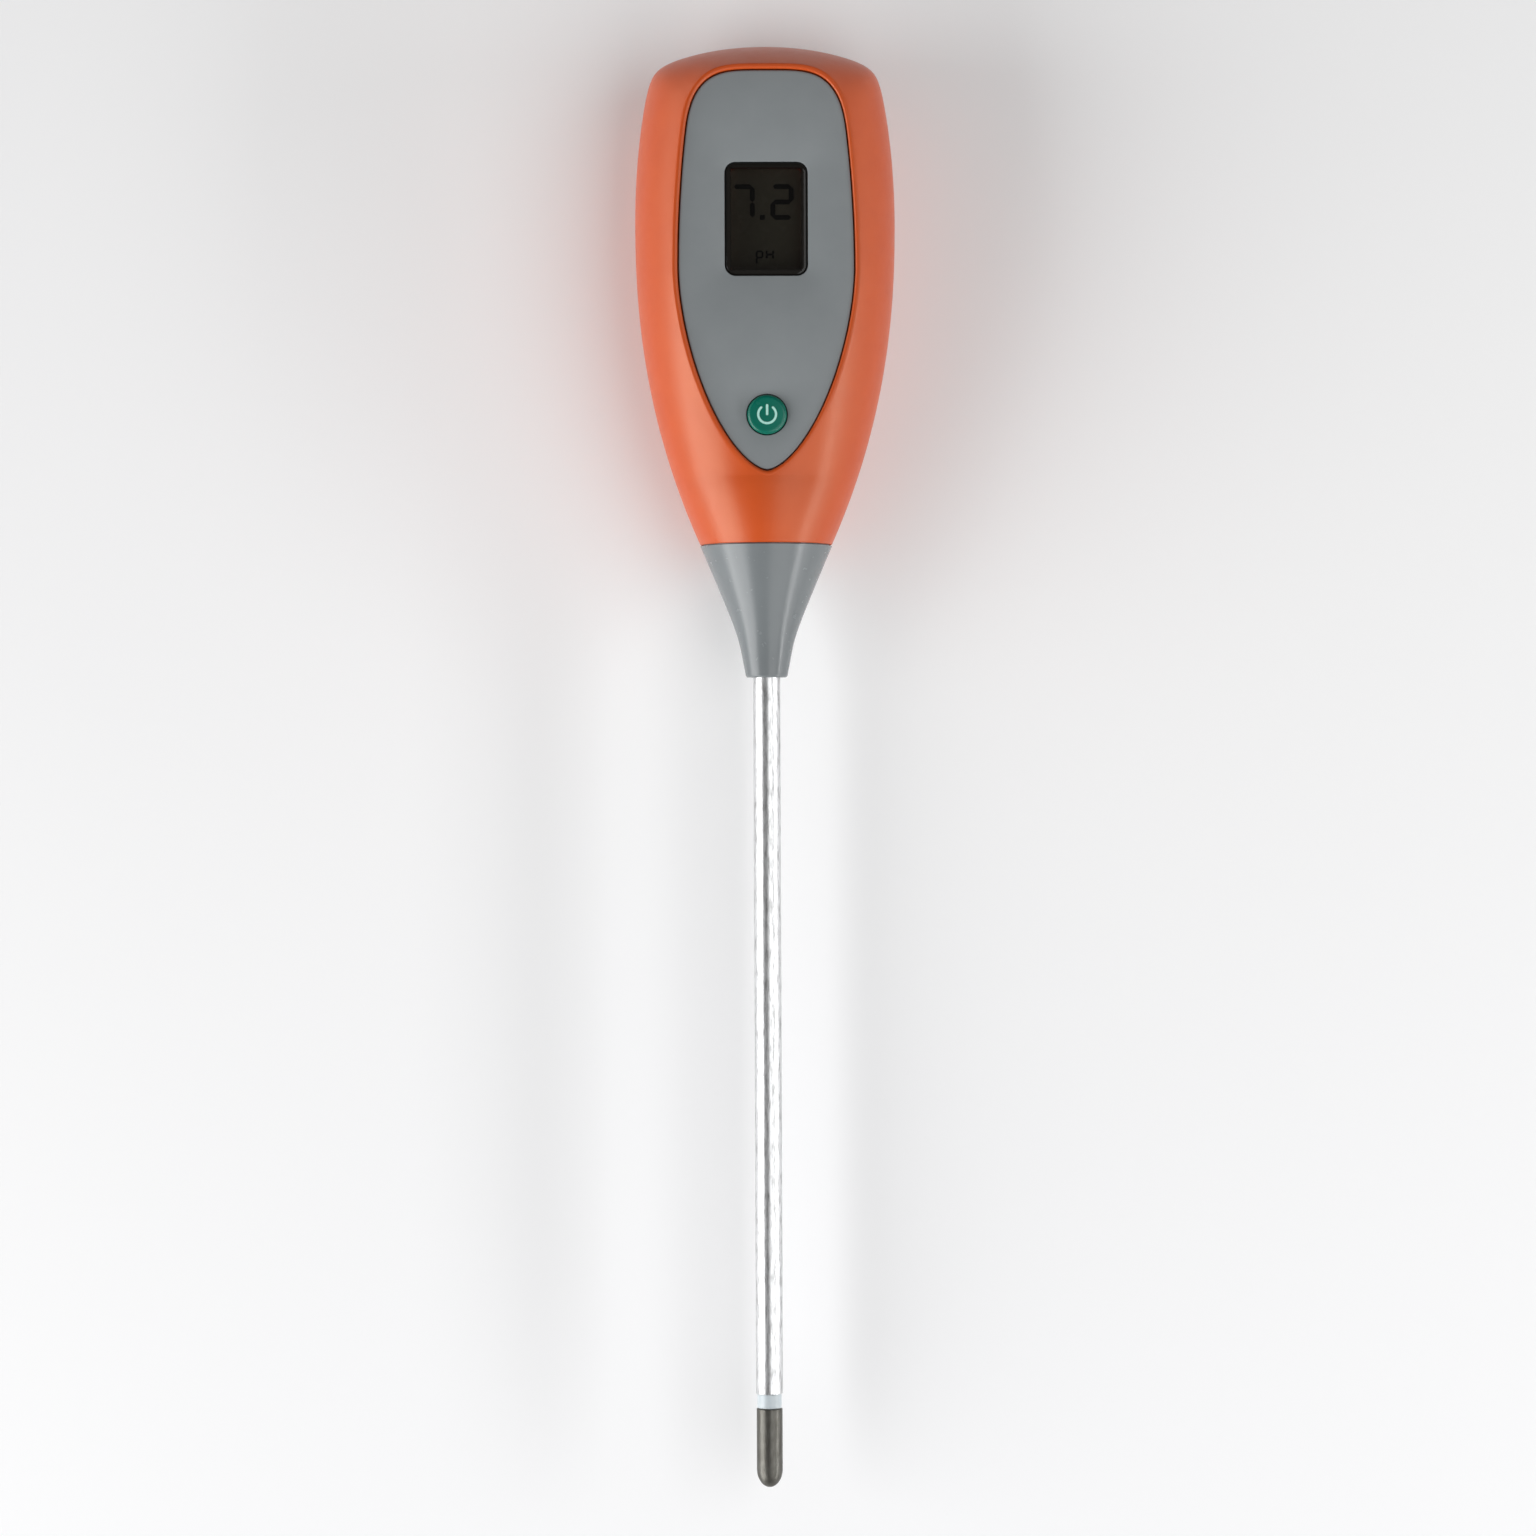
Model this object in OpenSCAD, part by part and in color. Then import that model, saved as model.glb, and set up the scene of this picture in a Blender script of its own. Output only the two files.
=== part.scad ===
// Soil pH meter: a palm-sized casing with a display and one button, on a thin metal probe.
// It lies on its back. +Y runs from the probe's tip to the casing's crown, +Z out of the display,
// z = 0 is the surface it rests on, and the origin is the middle of its length.

/* [Casing] */
// Length of the casing, from its seam with the nose cone to its crown
handle_len = 92; // [90:0.5:94]
// Widest part of the casing
handle_w = 48.06; // [47:0.02:49]
// Thickness of the casing
handle_t = 30; // [30:1:31]
// Radius of the casing where it meets the nose cone
seam_r = 12.17; // [11.9:0.01:12.4]
// Distance of the widest place below the crown
widest_drop = 32.5; // [32:0.5:34]
// Fullness of the casing's lower flanks
flank_power = 2.24; // [2:0.02:2.4]
// Radius of the arc over the crown
crown_r = 56.6; // [54:0.1:59]
// How squarely the flanks turn into the crown
shoulder_power = 9.1; // [7:0.1:11]
// How much the flanks lean in over 40 mm above the widest place
flank_lean = 0.251; // [0.22:0.001:0.28]
// Wall thickness
wall = 2; // [1.8:0.1:2.2]

/* [Face plate] */
// Widest part of the pocket that the face plate lies in
pocket_w = 32.46; // [32:0.02:33]
// Distance of the pocket's widest place below the crown
pocket_widest_drop = 42.3; // [41:0.1:43]
// Distance of the pocket's lower tip below the crown
pocket_tip_drop = 79.1; // [78:0.1:80]
// Distance of the pocket's top edge below the crown
pocket_top_drop = 5.9; // [5.5:0.1:6.5]
// Flat rim of the casing around the pocket
rim_w = 0.9; // [0.7:0.1:1]
// Depth of the pocket
pocket_depth = 2; // [1.9:0.1:2.1]
// How far the plate lies below the rim
plate_sink = 0.4; // [0.3:0.1:0.5]
// Gap around the plate
plate_gap = 0.25; // [0.15:0.05:0.3]

/* [Display and button] */
// Width of the display window
window_w = 15.2; // [14:0.2:16]
// Height of the display window
window_h = 20.8; // [20:0.1:21.2]
// Corner radius of the display window
window_r = 2; // [1.7:0.1:2.3]
// Distance of the window's middle below the crown
window_drop = 33.2; // [33:0.1:34]
// Width of the ledge that the window lens rests on
lens_ledge = 0.9; // [0.8:0.1:1.2]
// Height of the displayed digits
digit_h = 6.5; // [6:0.1:6.8]
// Diameter of the power button
button_d = 7.2; // [6.8:0.1:7.4]
// Distance of the button's middle below the crown
button_drop = 68.9; // [68.5:0.1:69]
// Height of the button above the rim
button_rise = 0.6; // [0.6:0.1:0.8]
// Travel of the button
button_travel = 0.6; // [0.4:0.1:0.6]

/* [Nose and probe] */
// Length of the nose cone outside the casing
cone_len = 24.5; // [24:0.1:25]
// Radius of the nose cone's lower end
cone_end_r = 3.9; // [3.8:0.05:4.1]
// Diameter of the probe tube
tube_d = 5; // [4.9:0.1:5]
// Bore of the probe tube
tube_bore = 4; // [3.8:0.1:4]
// Length of tube that shows below the nose cone
tube_show = 132.6; // [120:0.1:140]
// Diameter of the insulator ring
ring_d = 4.5; // [4.4:0.1:4.6]
// Length of the insulator ring
ring_len = 2.6; // [2.4:0.1:3]
// Diameter of the sensor tip
tip_d = 4.8; // [4.6:0.1:4.9]
// Length of the sensor tip
tip_len = 14.7; // [14:0.1:16]

/* [Battery] */
// Diameter of the cell
cell_d = 10.5; // [10:0.1:10.5]
// Length of the cell with its raised terminal
cell_len = 44.5; // [43.5:0.1:44.5]
// Half of the battery door's width
door_half_w = 9; // [8.5:0.1:9]
// Length of the battery door
door_len = 57; // [56:0.5:57]

/* [Hidden] */
$fn = 48;

// Places along the meter
total_len = handle_len + cone_len + tube_show + ring_len + tip_len;
crown_y = total_len / 2;
seam_y = crown_y - handle_len;
cone_end_y = seam_y - cone_len;
ring_y = cone_end_y - tube_show;
tip_y = ring_y - ring_len;
widest_y = crown_y - widest_drop;
window_y = crown_y - window_drop;
button_y = crown_y - button_drop;
pocket_widest_y = crown_y - pocket_widest_drop;
pocket_tip_y = crown_y - pocket_tip_drop;
pocket_top_y = crown_y - pocket_top_drop;

// Heights through the casing
part_z = handle_t / 2;
rim_z = handle_t;
pocket_z = rim_z - pocket_depth;
roof_t = 1.8;
roof_z = pocket_z - roof_t;
plate_z = rim_z - plate_sink;
adhesive_t = 0.15;
lens_t = 1.35;
lcd_t = 2.2;
board_top_z = 20.6;
board_t = 1.6;
board_z = board_top_z - board_t;
floor_z = wall;
cell_z = 8;
chamber_top_z = 13.6;

// Shape of the casing's surfaces
side_steps = 15;
crown_steps = 12;
section_steps = 6;
lean_span = 40;
ridge_power = 1.9;
end_wall = 3;
end_gap = 0.1;
back_flat = 0.8;
hollow_seam_r = seam_r - 2.3;
front_flat_inset = 1.5;
rear_flat_inset = 1.2;

// Shape of the pocket: how it closes to its tip, leans in above its widest place and turns over its top
tip_power = 1.68;
tip_root = 1.63;
pocket_lean = 0.227;
corner_y = crown_y - 18.3;
corner_power = 3.06;
corner_root = 4.13;

// Neck of the nose cone inside the casing
neck_r = 7.5;
flange_r = 9.2;
flange_len = 3;
cavity_r = 5.6;
cavity_y = seam_y - 9.2;
collar_len = 5;
nut_len = 4;
nut_bore_r = 3.2;
nut_slot_w = 1.2;
seal_y = cone_end_y + 4;
seal_wire_r = 0.5;

// The tube's narrower end inside the nose cone, and the cores that join the insulator and the tip
tube_end_r = 2.3;
tube_end_y = cavity_y + collar_len + 1;
spigot_len = 5;
core_r = 1;
core_high_y = tip_y + spigot_len + 0.5;

// Leads
lead_r = 0.4;
lead_low_y = seam_y + 8;
lead_bend_y = seam_y + 18;
lead_joint_y = seam_y + 20.8;
lead_joint_x = 3;

// Circuit board and what it carries
board_half_w = 11.6;
board_low_y = crown_y - 73.2;
board_high_y = crown_y - 11.7;
holder_wall = 1.15;
panel_w = 20;
panel_h = 26;
switch_top_z = 24.1;
plunger_r = 1.75;
plunger_top_z = 25;
plunger_len = 1.8;
flange_t = 0.8;
stem_r = 1.6;
button_hole_r = button_d / 2 + 0.15;
mark_depth = 0.25;

// Screws and the posts that they go into
board_spots = [for (x = [-8.5, 8.5], drop = [14.7, 53.2]) [x, crown_y - drop]];
case_spots = [
    [-15, crown_y - 15.2], [15, crown_y - 15.2],
    [-9, crown_y - 77.7], [9, crown_y - 77.7]
];
screw_seat_z = 7;
screw_head_r = 2.3;
screw_head_h = 1.8;
screw_top_z = roof_z - 2;
shank_r = 1.2;
front_post_r = 2.8;
rear_post_r = 3.8;
counterbore_r = 2.6;
board_post_r = 2.2;
board_shank_r = 0.8;
board_head_r = 1.7;
board_head_h = 1.2;
screw_gap = 0.04;
sliding_gap = 0.05;

// Battery compartment and door
chamber_half_w = 5.6;
chamber_wall = 1.2;
chamber_low_y = crown_y - 64.2;
spring_room = 5;
plate_t = 0.4;
cap_len = 1;
cap_r = 1.9;
cell_low_y = chamber_low_y + plate_t + spring_room;
cell_high_y = cell_low_y + cell_len;
chamber_high_y = cell_high_y + plate_t;
door_low_y = crown_y - 65.8;
door_high_y = door_low_y + door_len;
door_z = 0.2;
door_gap = 0.1;
tongue_w = 0.8;
tongue_z = 1;
tongue_high_y = crown_y - 13;
tab_half_w = 1.5;
tab_top_z = part_z + 1;
rail_top_z = 3.2;
rail_half_w = 11.8;

// Colours
orange = "OrangeRed";
grey = "SlateGray";
steel = "Silver";

// ---- Outlines ----

// Half of the casing's width at y, seen from the front
function skin_w(y) =
    y < widest_y
    ? handle_w / 2 - (handle_w / 2 - seam_r) * pow((widest_y - y) / (widest_y - seam_y), flank_power)
    : rounded_min(
        handle_w / 2 * (1 - flank_lean * pow((y - widest_y) / lean_span, 2)),
        sqrt(max(pow(crown_r, 2) - pow(y - crown_y + crown_r, 2), 1e-9)),
        shoulder_power
    );

// The smaller of two widths, with a rounded change from one to the other
function rounded_min(a, b, power) = pow(pow(a, -power) + pow(b, -power), -1 / power);

// Half of the pocket's width at y, with its outline moved out by grow
function pocket_half_w(y, grow) =
    y < pocket_widest_y
    ? (pocket_w / 2 + grow)
        * pow(max(1 - pow(depth_below(y, grow), tip_power), 0), 1 / tip_root)
    : (pocket_w / 2 + grow)
        * (1 - pocket_lean * pow((y - pocket_widest_y) / lean_span, 2))
        * pow(max(1 - pow(depth_above(y, grow), corner_power), 0), 1 / corner_root);
function depth_below(y, grow) = min((pocket_widest_y - y) / (pocket_widest_y - pocket_tip_y + grow), 1);
function depth_above(y, grow) = min(max((y - corner_y) / (pocket_top_y + grow - corner_y), 0), 1);

// Distance from the middle of the widest place to an outline, at angle a above the X axis.
// "skin" is the casing's outline, and a number is the pocket's outline moved out by it.
function reach(a, outline, low = 0, high = 40, steps = 24) =
    steps == 0
    ? low
    : is_within((low + high) / 2, a, outline)
        ? reach(a, outline, (low + high) / 2, high, steps - 1)
        : reach(a, outline, low, (low + high) / 2, steps - 1);
function is_within(s, a, outline) =
    let (x = s * cos(a), y = widest_y + s * sin(a))
    outline == "skin"
    ? y < crown_y && x <= skin_w(y)
    : y < pocket_top_y + outline && x <= pocket_half_w(y, outline);

// Points of the pocket's outline, moved out by grow, from the right flank over the top to the left
function pocket_outline(grow) = concat(
    [for (i = [0 : side_steps - 1])
        let (y = rise(i / side_steps, pocket_tip_y - grow, widest_y))
        [pocket_half_w(y, grow), y]],
    [for (i = [0 : 2 * crown_steps])
        let (a = i * 90 / crown_steps, s = reach(a > 90 ? 180 - a : a, grow))
        [s * cos(a), widest_y + s * sin(a)]],
    [for (i = [side_steps - 1 : -1 : 1])
        let (y = rise(i / side_steps, pocket_tip_y - grow, widest_y))
        [-pocket_half_w(y, grow), y]]
);

// A height between low and high, with closer steps near low
function rise(t, low, high) = low + (high - low) * pow(t, 1.6);

// ---- Half of the casing's body ----

// One station of the body: [root y, direction, reach of the flat, reach of the silhouette, height]
function station(i, inset, flat_inset, flat_scale, height, seam_height, low_y) =
    i <= side_steps
    ? let (y = low_y + (widest_y - low_y) * i / side_steps,
           t = max((pocket_tip_y - rim_w - y) / (pocket_tip_y - rim_w - seam_y), 0),
           flat = pocket_half_w(y, rim_w) * flat_scale - flat_inset)
      [y, 0, max(flat, 0.3), skin_w(y) - inset,
       height - (height - seam_height) * pow(t, ridge_power)]
    : let (a = (i - side_steps) * 90 / crown_steps)
      [widest_y, a, reach(a, rim_w) * flat_scale - flat_inset, reach(a, "skin") - inset, height];

// Points of one station's section, from the flat out to the silhouette and straight down by
// skirt; side is 1 or -1
function section(s, side, skirt) =
    let (first = asin(s[2] / s[3]))
    [for (j = [0 : section_steps + (skirt > 0 ? 1 : 0)])
        let (turn = first + (90 - first) * min(j / section_steps, 1), along = s[3] * sin(turn))
        [side * along * cos(s[1]), s[0] + along * sin(s[1]),
         j > section_steps ? -skirt : s[4] * cos(turn) / cos(first)]];

// A closed half body standing on z = 0, with its flat face up
module half_body(inset, flat_inset, flat_scale, height, seam_height, low_y, skirt) {
    last = side_steps + crown_steps;
    rows = section_steps + (skirt > 0 ? 1 : 0);
    wide = rows + 1;
    stations = [for (i = [0 : last])
        station(i, inset, flat_inset, flat_scale, height, seam_height, low_y)];
    rings = concat(
        [for (i = [0 : last]) section(stations[i], 1, skirt)],
        [for (i = [last - 1 : -1 : 0]) section(stations[i], -1, skirt)]
    );
    skin = [for (k = [0 : 2 * last - 1], j = [0 : rows - 1])
        let (a = k * wide + j, b = a + wide)
        each [[a, b + 1, a + 1], [a, b, b + 1]]];
    strips = [for (i = [0 : last - 1], j = [0, rows])
        let (a = i * wide + j, b = a + wide, c = (2 * last - i) * wide + j, d = c - wide)
        each (b == d
            ? [strip_face([a, b, c], j)]
            : [strip_face([a, b, d], j), strip_face([a, d, c], j)])];
    low_end = concat(
        [for (j = [0 : rows]) j],
        [for (j = [rows : -1 : 0]) 2 * last * wide + j]
    );
    polyhedron(points = [for (r = rings) each r], faces = concat(skin, strips, [low_end]), convexity = 4);
}
function strip_face(f, j) = j == 0 ? [f[2], f[1], f[0]] : f;

module front_outside() {
    translate([0, 0, part_z])
        half_body(0, 0, 1, rim_z - part_z, seam_r, seam_y, 0);
}

module front_hollow() {
    translate([0, 0, part_z])
        half_body(wall, front_flat_inset, 1, roof_z - part_z, hollow_seam_r, seam_y + end_wall, 1);
}

module rear_outside() {
    translate([0, 0, part_z])
        mirror([0, 0, 1])
            half_body(0, 0, back_flat, part_z, seam_r, seam_y, 0);
}

module rear_hollow() {
    translate([0, 0, part_z])
        mirror([0, 0, 1])
            half_body(wall, rear_flat_inset, back_flat, part_z - floor_z, hollow_seam_r,
                seam_y + end_wall, 1);
}

// ---- Shared shapes ----

module box(low, high) {
    translate(low)
        cube(high - low);
}

module post(spot, r, low_z, high_z) {
    translate([spot[0], spot[1], low_z])
        cylinder(r = r, h = high_z - low_z);
}

// A cylinder along the probe's axis
module rod(r, low_y, high_y) {
    translate([0, low_y, part_z])
        rotate([-90, 0, 0])
            cylinder(r = r, h = high_y - low_y);
}

// A turned shape about the probe's axis; its outline is in [radius, y]
module turned(outline) {
    translate([0, 0, part_z])
        rotate([-90, 0, 0])
            rotate_extrude($fn = 96)
                polygon(outline);
}

module rounded_rectangle(w, h, r) {
    square([w - 2 * r, h], center = true);
    square([w, h - 2 * r], center = true);
    for (x = [-1, 1], y = [-1, 1])
        translate([x * (w / 2 - r), y * (h / 2 - r)])
            circle(r = r);
}

module window_block(grow, low_z, high_z) {
    translate([0, window_y, low_z])
        linear_extrude(height = high_z - low_z)
            rounded_rectangle(window_w + 2 * grow, window_h + 2 * grow, window_r + grow / 2);
}

module pocket_block(grow, low_z, high_z) {
    translate([0, 0, low_z])
        linear_extrude(height = high_z - low_z)
            polygon(pocket_outline(grow));
}

// Faces of a tube along its rings of points, closed at both ends
function tube_faces(last, sides) = concat(
    [for (i = [0 : last - 1], j = [0 : sides - 1])
        let (k = (j + 1) % sides, a = i * sides)
        each [[a + j, a + sides + k, a + k], [a + j, a + sides + j, a + sides + k]]],
    [[for (j = [0 : sides - 1]) j]],
    [[for (j = [sides - 1 : -1 : 0]) last * sides + j]]
);

// Direction of a route at its point i
function heading(route, i) =
    let (step = route[min(i + 1, len(route) - 1)] - route[max(i - 1, 0)])
    step / norm(step);

// A round wire along a route that never runs along X; its last cross-section is level
module wire(route, r) {
    sides = 8;
    last = len(route) - 1;
    rings = [for (i = [0 : last])
        let (ahead = i == last ? [0, 0, 1] : heading(route, i),
             across = cross([1, 0, 0], ahead) / norm(cross([1, 0, 0], ahead)),
             up = cross(ahead, across))
        [for (j = [0 : sides - 1])
            route[i] + r * (cos(j * 360 / sides) * across + sin(j * 360 / sides) * up)]];
    polyhedron(points = [for (ring = rings) each ring], faces = tube_faces(last, sides), convexity = 4);
}

// ---- Casing ----

module neck_hole() {
    rod(neck_r + sliding_gap, seam_y - 1, seam_y + end_wall + 1);
}

module front_shell() {
    color(orange)
        difference() {
            front_outside();
            difference() {
                front_hollow();
                for (spot = case_spots)
                    post(spot, front_post_r, part_z, rim_z);
                for (spot = board_spots)
                    post(spot, board_post_r, board_top_z, rim_z);
            }
            pocket_block(0, pocket_z, rim_z + 1);
            window_block(-lens_ledge, roof_z - 1, rim_z);
            post([0, button_y], button_hole_r, roof_z - 1, rim_z);
            neck_hole();
            for (spot = case_spots)
                post(spot, shank_r + screw_gap, part_z - 1, screw_top_z + 0.8);
            for (spot = board_spots)
                post(spot, board_shank_r + screw_gap, board_z, roof_z - 0.4);
        }
}

module rear_shell() {
    low_y = chamber_low_y - chamber_wall;
    high_y = chamber_high_y + chamber_wall;
    block_half_w = chamber_half_w + chamber_wall;
    slot_half_w = tab_half_w + 0.1;
    seat_z = floor_z + sliding_gap;
    door_x = door_half_w + door_gap;
    color(orange)
        difference() {
            rear_outside();
            difference() {
                rear_hollow();
                box([-block_half_w, low_y, 0], [block_half_w, high_y, chamber_top_z + chamber_wall]);
                box([-rail_half_w, low_y, 0], [rail_half_w, crown_y, rail_top_z]);
                for (spot = case_spots)
                    post(spot, rear_post_r, 0, part_z);
            }
            box([-chamber_half_w, chamber_low_y, -1], [chamber_half_w, chamber_high_y, chamber_top_z]);
            for (y = [chamber_low_y, chamber_high_y - plate_t])
                box([-slot_half_w, y, chamber_top_z - 1], [slot_half_w, y + plate_t, part_z + 1]);
            box([-door_x, door_low_y - door_gap, -1], [door_x, crown_y + 1, seat_z]);
            box([-door_x - tongue_w, door_low_y - door_gap, tongue_z - sliding_gap],
                [door_x + tongue_w, crown_y + 1, seat_z]);
            neck_hole();
            for (spot = case_spots) {
                post(spot, counterbore_r, -1, screw_seat_z);
                post(spot, shank_r + 0.2, screw_seat_z - 1, part_z + 1);
            }
        }
}

module battery_door() {
    grips = 4;
    grip_half_w = 5;
    grip_low_y = door_low_y + 6;
    grip_w = 1;
    grip_pitch = 2.4;
    grip_depth = 0.5;
    color(orange)
        difference() {
            union() {
                intersection() {
                    rear_outside();
                    box([-door_half_w, door_low_y, door_z], [door_half_w, door_high_y, floor_z]);
                }
                box([-door_half_w - tongue_w, door_low_y, tongue_z],
                    [door_half_w + tongue_w, tongue_high_y, floor_z]);
            }
            for (i = [0 : grips - 1])
                let (y = grip_low_y + i * grip_pitch)
                box([-grip_half_w, y, -1], [grip_half_w, y + grip_w, door_z + grip_depth]);
        }
}

module face_plate() {
    color(grey)
        difference() {
            pocket_block(-plate_gap, pocket_z + adhesive_t, plate_z);
            window_block(0, pocket_z, rim_z);
            post([0, button_y], button_hole_r, pocket_z, rim_z);
        }
}

module plate_adhesive() {
    inset = 0.6;
    color("Beige")
        difference() {
            pocket_block(-inset, pocket_z, pocket_z + adhesive_t);
            window_block(inset, pocket_z - 1, rim_z);
            post([0, button_y], button_hole_r + inset, pocket_z - 1, rim_z);
        }
}

module case_screws() {
    head_z = screw_seat_z - screw_head_h;
    color(steel)
        for (spot = case_spots)
            difference() {
                union() {
                    post(spot, screw_head_r, head_z, screw_seat_z);
                    post(spot, shank_r, screw_seat_z, screw_top_z);
                }
                for (turn = [0, 90])
                    translate([spot[0], spot[1], head_z])
                        rotate([0, 0, turn])
                            cube([2.6, 0.5, 1.6], center = true);
            }
}

// ---- Nose cone and probe ----

// A point of the cubic curve through four control points
function curve_point(p, t) =
    pow(1 - t, 3) * p[0] + 3 * t * pow(1 - t, 2) * p[1] + 3 * t * t * (1 - t) * p[2] + pow(t, 3) * p[3];

module nose_cone() {
    edge_r = 0.5;
    flare = [
        [seam_r, seam_y],
        [4.4, cone_end_y + 5.9],
        [5.5, cone_end_y + 8.5],
        [cone_end_r, cone_end_y + edge_r]
    ];
    flare_steps = 14;
    edge_steps = 4;
    bore_r = tube_end_r + 0.03;
    groove_r = bore_r + 2 * seal_wire_r;
    groove_half_w = seal_wire_r + sliding_gap;
    flange_y = seam_y + end_wall + end_gap;
    outline = concat(
        [[cavity_r, flange_y + flange_len],
         [flange_r, flange_y + flange_len],
         [flange_r, flange_y],
         [neck_r, flange_y],
         [neck_r, seam_y]],
        [for (i = [0 : flare_steps]) curve_point(flare, i / flare_steps)],
        [for (i = [1 : edge_steps])
            let (a = i * 90 / edge_steps)
            [cone_end_r - edge_r * (1 - cos(a)), cone_end_y + edge_r * (1 - sin(a))]],
        [[bore_r, cone_end_y],
         [bore_r, seal_y - groove_half_w],
         [groove_r, seal_y - groove_half_w],
         [groove_r, seal_y + groove_half_w],
         [bore_r, seal_y + groove_half_w],
         [bore_r, cavity_y],
         [cavity_r, cavity_y]]
    );
    color(grey)
        turned(outline);
}

module tube_seal() {
    color("Black")
        translate([0, seal_y, part_z])
            rotate([-90, 0, 0])
                rotate_extrude($fn = 64)
                    translate([tube_end_r + seal_wire_r + 0.01, 0])
                        circle(r = seal_wire_r, $fn = 24);
}

module probe_collar() {
    color("Goldenrod")
        difference() {
            rod(cavity_r - 0.1, cavity_y, cavity_y + collar_len);
            rod(tube_end_r, cavity_y - 1, cavity_y + collar_len + 1);
        }
}

module collar_nut() {
    low_y = cavity_y + collar_len;
    color(steel)
        difference() {
            rod(cavity_r - 0.02, low_y, low_y + nut_len);
            rod(nut_bore_r, low_y - 1, low_y + nut_len + 1);
            translate([-nut_slot_w / 2, low_y + nut_len - nut_slot_w, part_z - cavity_r])
                cube([nut_slot_w, 2 * nut_slot_w, 2 * cavity_r]);
        }
}

// The tube's shoulder bears on the nose cone's end, which takes the push into the soil
module probe_tube() {
    color(steel)
        difference() {
            union() {
                rod(tube_d / 2, ring_y, cone_end_y);
                rod(tube_end_r, cone_end_y, tube_end_y);
            }
            rod(tube_bore / 2, ring_y - 1, tube_end_y + 1);
        }
}

module insulator_ring() {
    color("AliceBlue")
        difference() {
            union() {
                rod(ring_d / 2, tip_y, ring_y);
                rod(tube_bore / 2, ring_y, ring_y + spigot_len);
            }
            rod(core_r, tip_y - 1, ring_y + spigot_len + 1);
        }
}

module sensor_tip() {
    r = tip_d / 2;
    edge = 0.2;
    nose = 3.4;
    nose_steps = 8;
    end_y = tip_y - tip_len;
    color("DimGray")
        turned(concat(
            [[0, core_high_y], [core_r, core_high_y], [core_r, tip_y], [r - edge, tip_y], [r, tip_y - edge]],
            [for (i = [0 : nose_steps - 1])
                let (a = i * 90 / nose_steps)
                [r * cos(a), end_y + nose * (1 - sin(a))]],
            [[0, end_y]]
        ));
}

// A lead that runs up the probe from start to its joint on the board, to one side of the middle
module probe_lead(start, side) {
    x = side * lead_joint_x;
    wire([
        start,
        [start[0], lead_low_y, part_z],
        [x, lead_bend_y, board_z - 2.2],
        [x, lead_joint_y, board_z - 1.2],
        [x, lead_joint_y, board_z]
    ], lead_r);
}

module tip_lead() {
    color("White")
        probe_lead([0, core_high_y, part_z], -1);
}

module tube_lead() {
    color("Black")
        probe_lead([(tube_bore / 2 + tube_end_r) / 2, tube_end_y, part_z], 1);
}

// ---- Display ----

module window_lens() {
    color("Black", 0.6)
        window_block(-sliding_gap, pocket_z, pocket_z + lens_t);
}

module lcd_panel() {
    color("DarkSlateGray")
        panel_block(0, roof_z - lcd_t, roof_z);
}

// One bar of a digit, from p to q, with pointed ends
module bar(p, q, w) {
    step = q - p;
    across = [-step[1], step[0]] / norm(step) * w / 2;
    along = step / norm(step) * w / 2;
    polygon([p, p + along + across, q - along + across, q, q - along - across, p + along - across]);
}

// A seven-segment figure: on lists the bars that are lit
module figure(on, w, h, stroke) {
    x = (w - stroke) / 2;
    y = (h - stroke) / 2;
    bars = [
        [[-x, y], [x, y]], [[x, y], [x, 0]], [[x, 0], [x, -y]], [[-x, -y], [x, -y]],
        [[-x, -y], [-x, 0]], [[-x, 0], [-x, y]], [[-x, 0], [x, 0]]
    ];
    for (i = on)
        bar(bars[i][0], bars[i][1], stroke);
}

// The reading 7.2 in large figures, and the unit pH below it in small ones
module lcd_segments() {
    w = 4.25;
    stroke = 0.88;
    reading_rise = 3.4;
    seven_x = -4.15;
    two_x = 2.95;
    point_x = -0.65;
    small_stroke = 0.34;
    p_at = [-1.2, -6.75];
    p_size = [1.4, 2.6];
    h_at = [0.7, -6.2];
    h_size = [1.5, 1.9];
    color("Black")
        translate([0, window_y, roof_z])
            linear_extrude(height = 0.1) {
                translate([0, reading_rise]) {
                    translate([seven_x, 0])
                        figure([0, 1, 2], w, digit_h, stroke);
                    translate([two_x, 0])
                        figure([0, 1, 6, 4, 3], w, digit_h, stroke);
                    translate([point_x, -digit_h / 2 + stroke / 2])
                        square(stroke, center = true);
                }
                translate(p_at)
                    figure([0, 1, 4, 5, 6], p_size[0], p_size[1], small_stroke);
                translate(h_at)
                    figure([1, 2, 4, 5, 6], h_size[0], h_size[1], small_stroke);
            }
}

// A block as large as the display panel, with its sides moved out by grow
module panel_block(grow, low_z, high_z) {
    half_w = panel_w / 2 + grow;
    half_h = panel_h / 2 + grow;
    box([-half_w, window_y - half_h, low_z], [half_w, window_y + half_h, high_z]);
}

module lcd_holder() {
    color("White")
        difference() {
            panel_block(holder_wall, board_top_z, roof_z);
            panel_block(sliding_gap, board_top_z - 1, roof_z + 1);
        }
}

module zebra_strips() {
    strip_w = 2;
    panel_z = roof_z - lcd_t;
    color("Gray")
        for (side = [-1, 1])
            translate([0, window_y + side * (panel_h / 2 - 1.5), (board_top_z + panel_z) / 2])
                cube([panel_w - 1, strip_w, panel_z - board_top_z], center = true);
}

// ---- Circuit board ----

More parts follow.
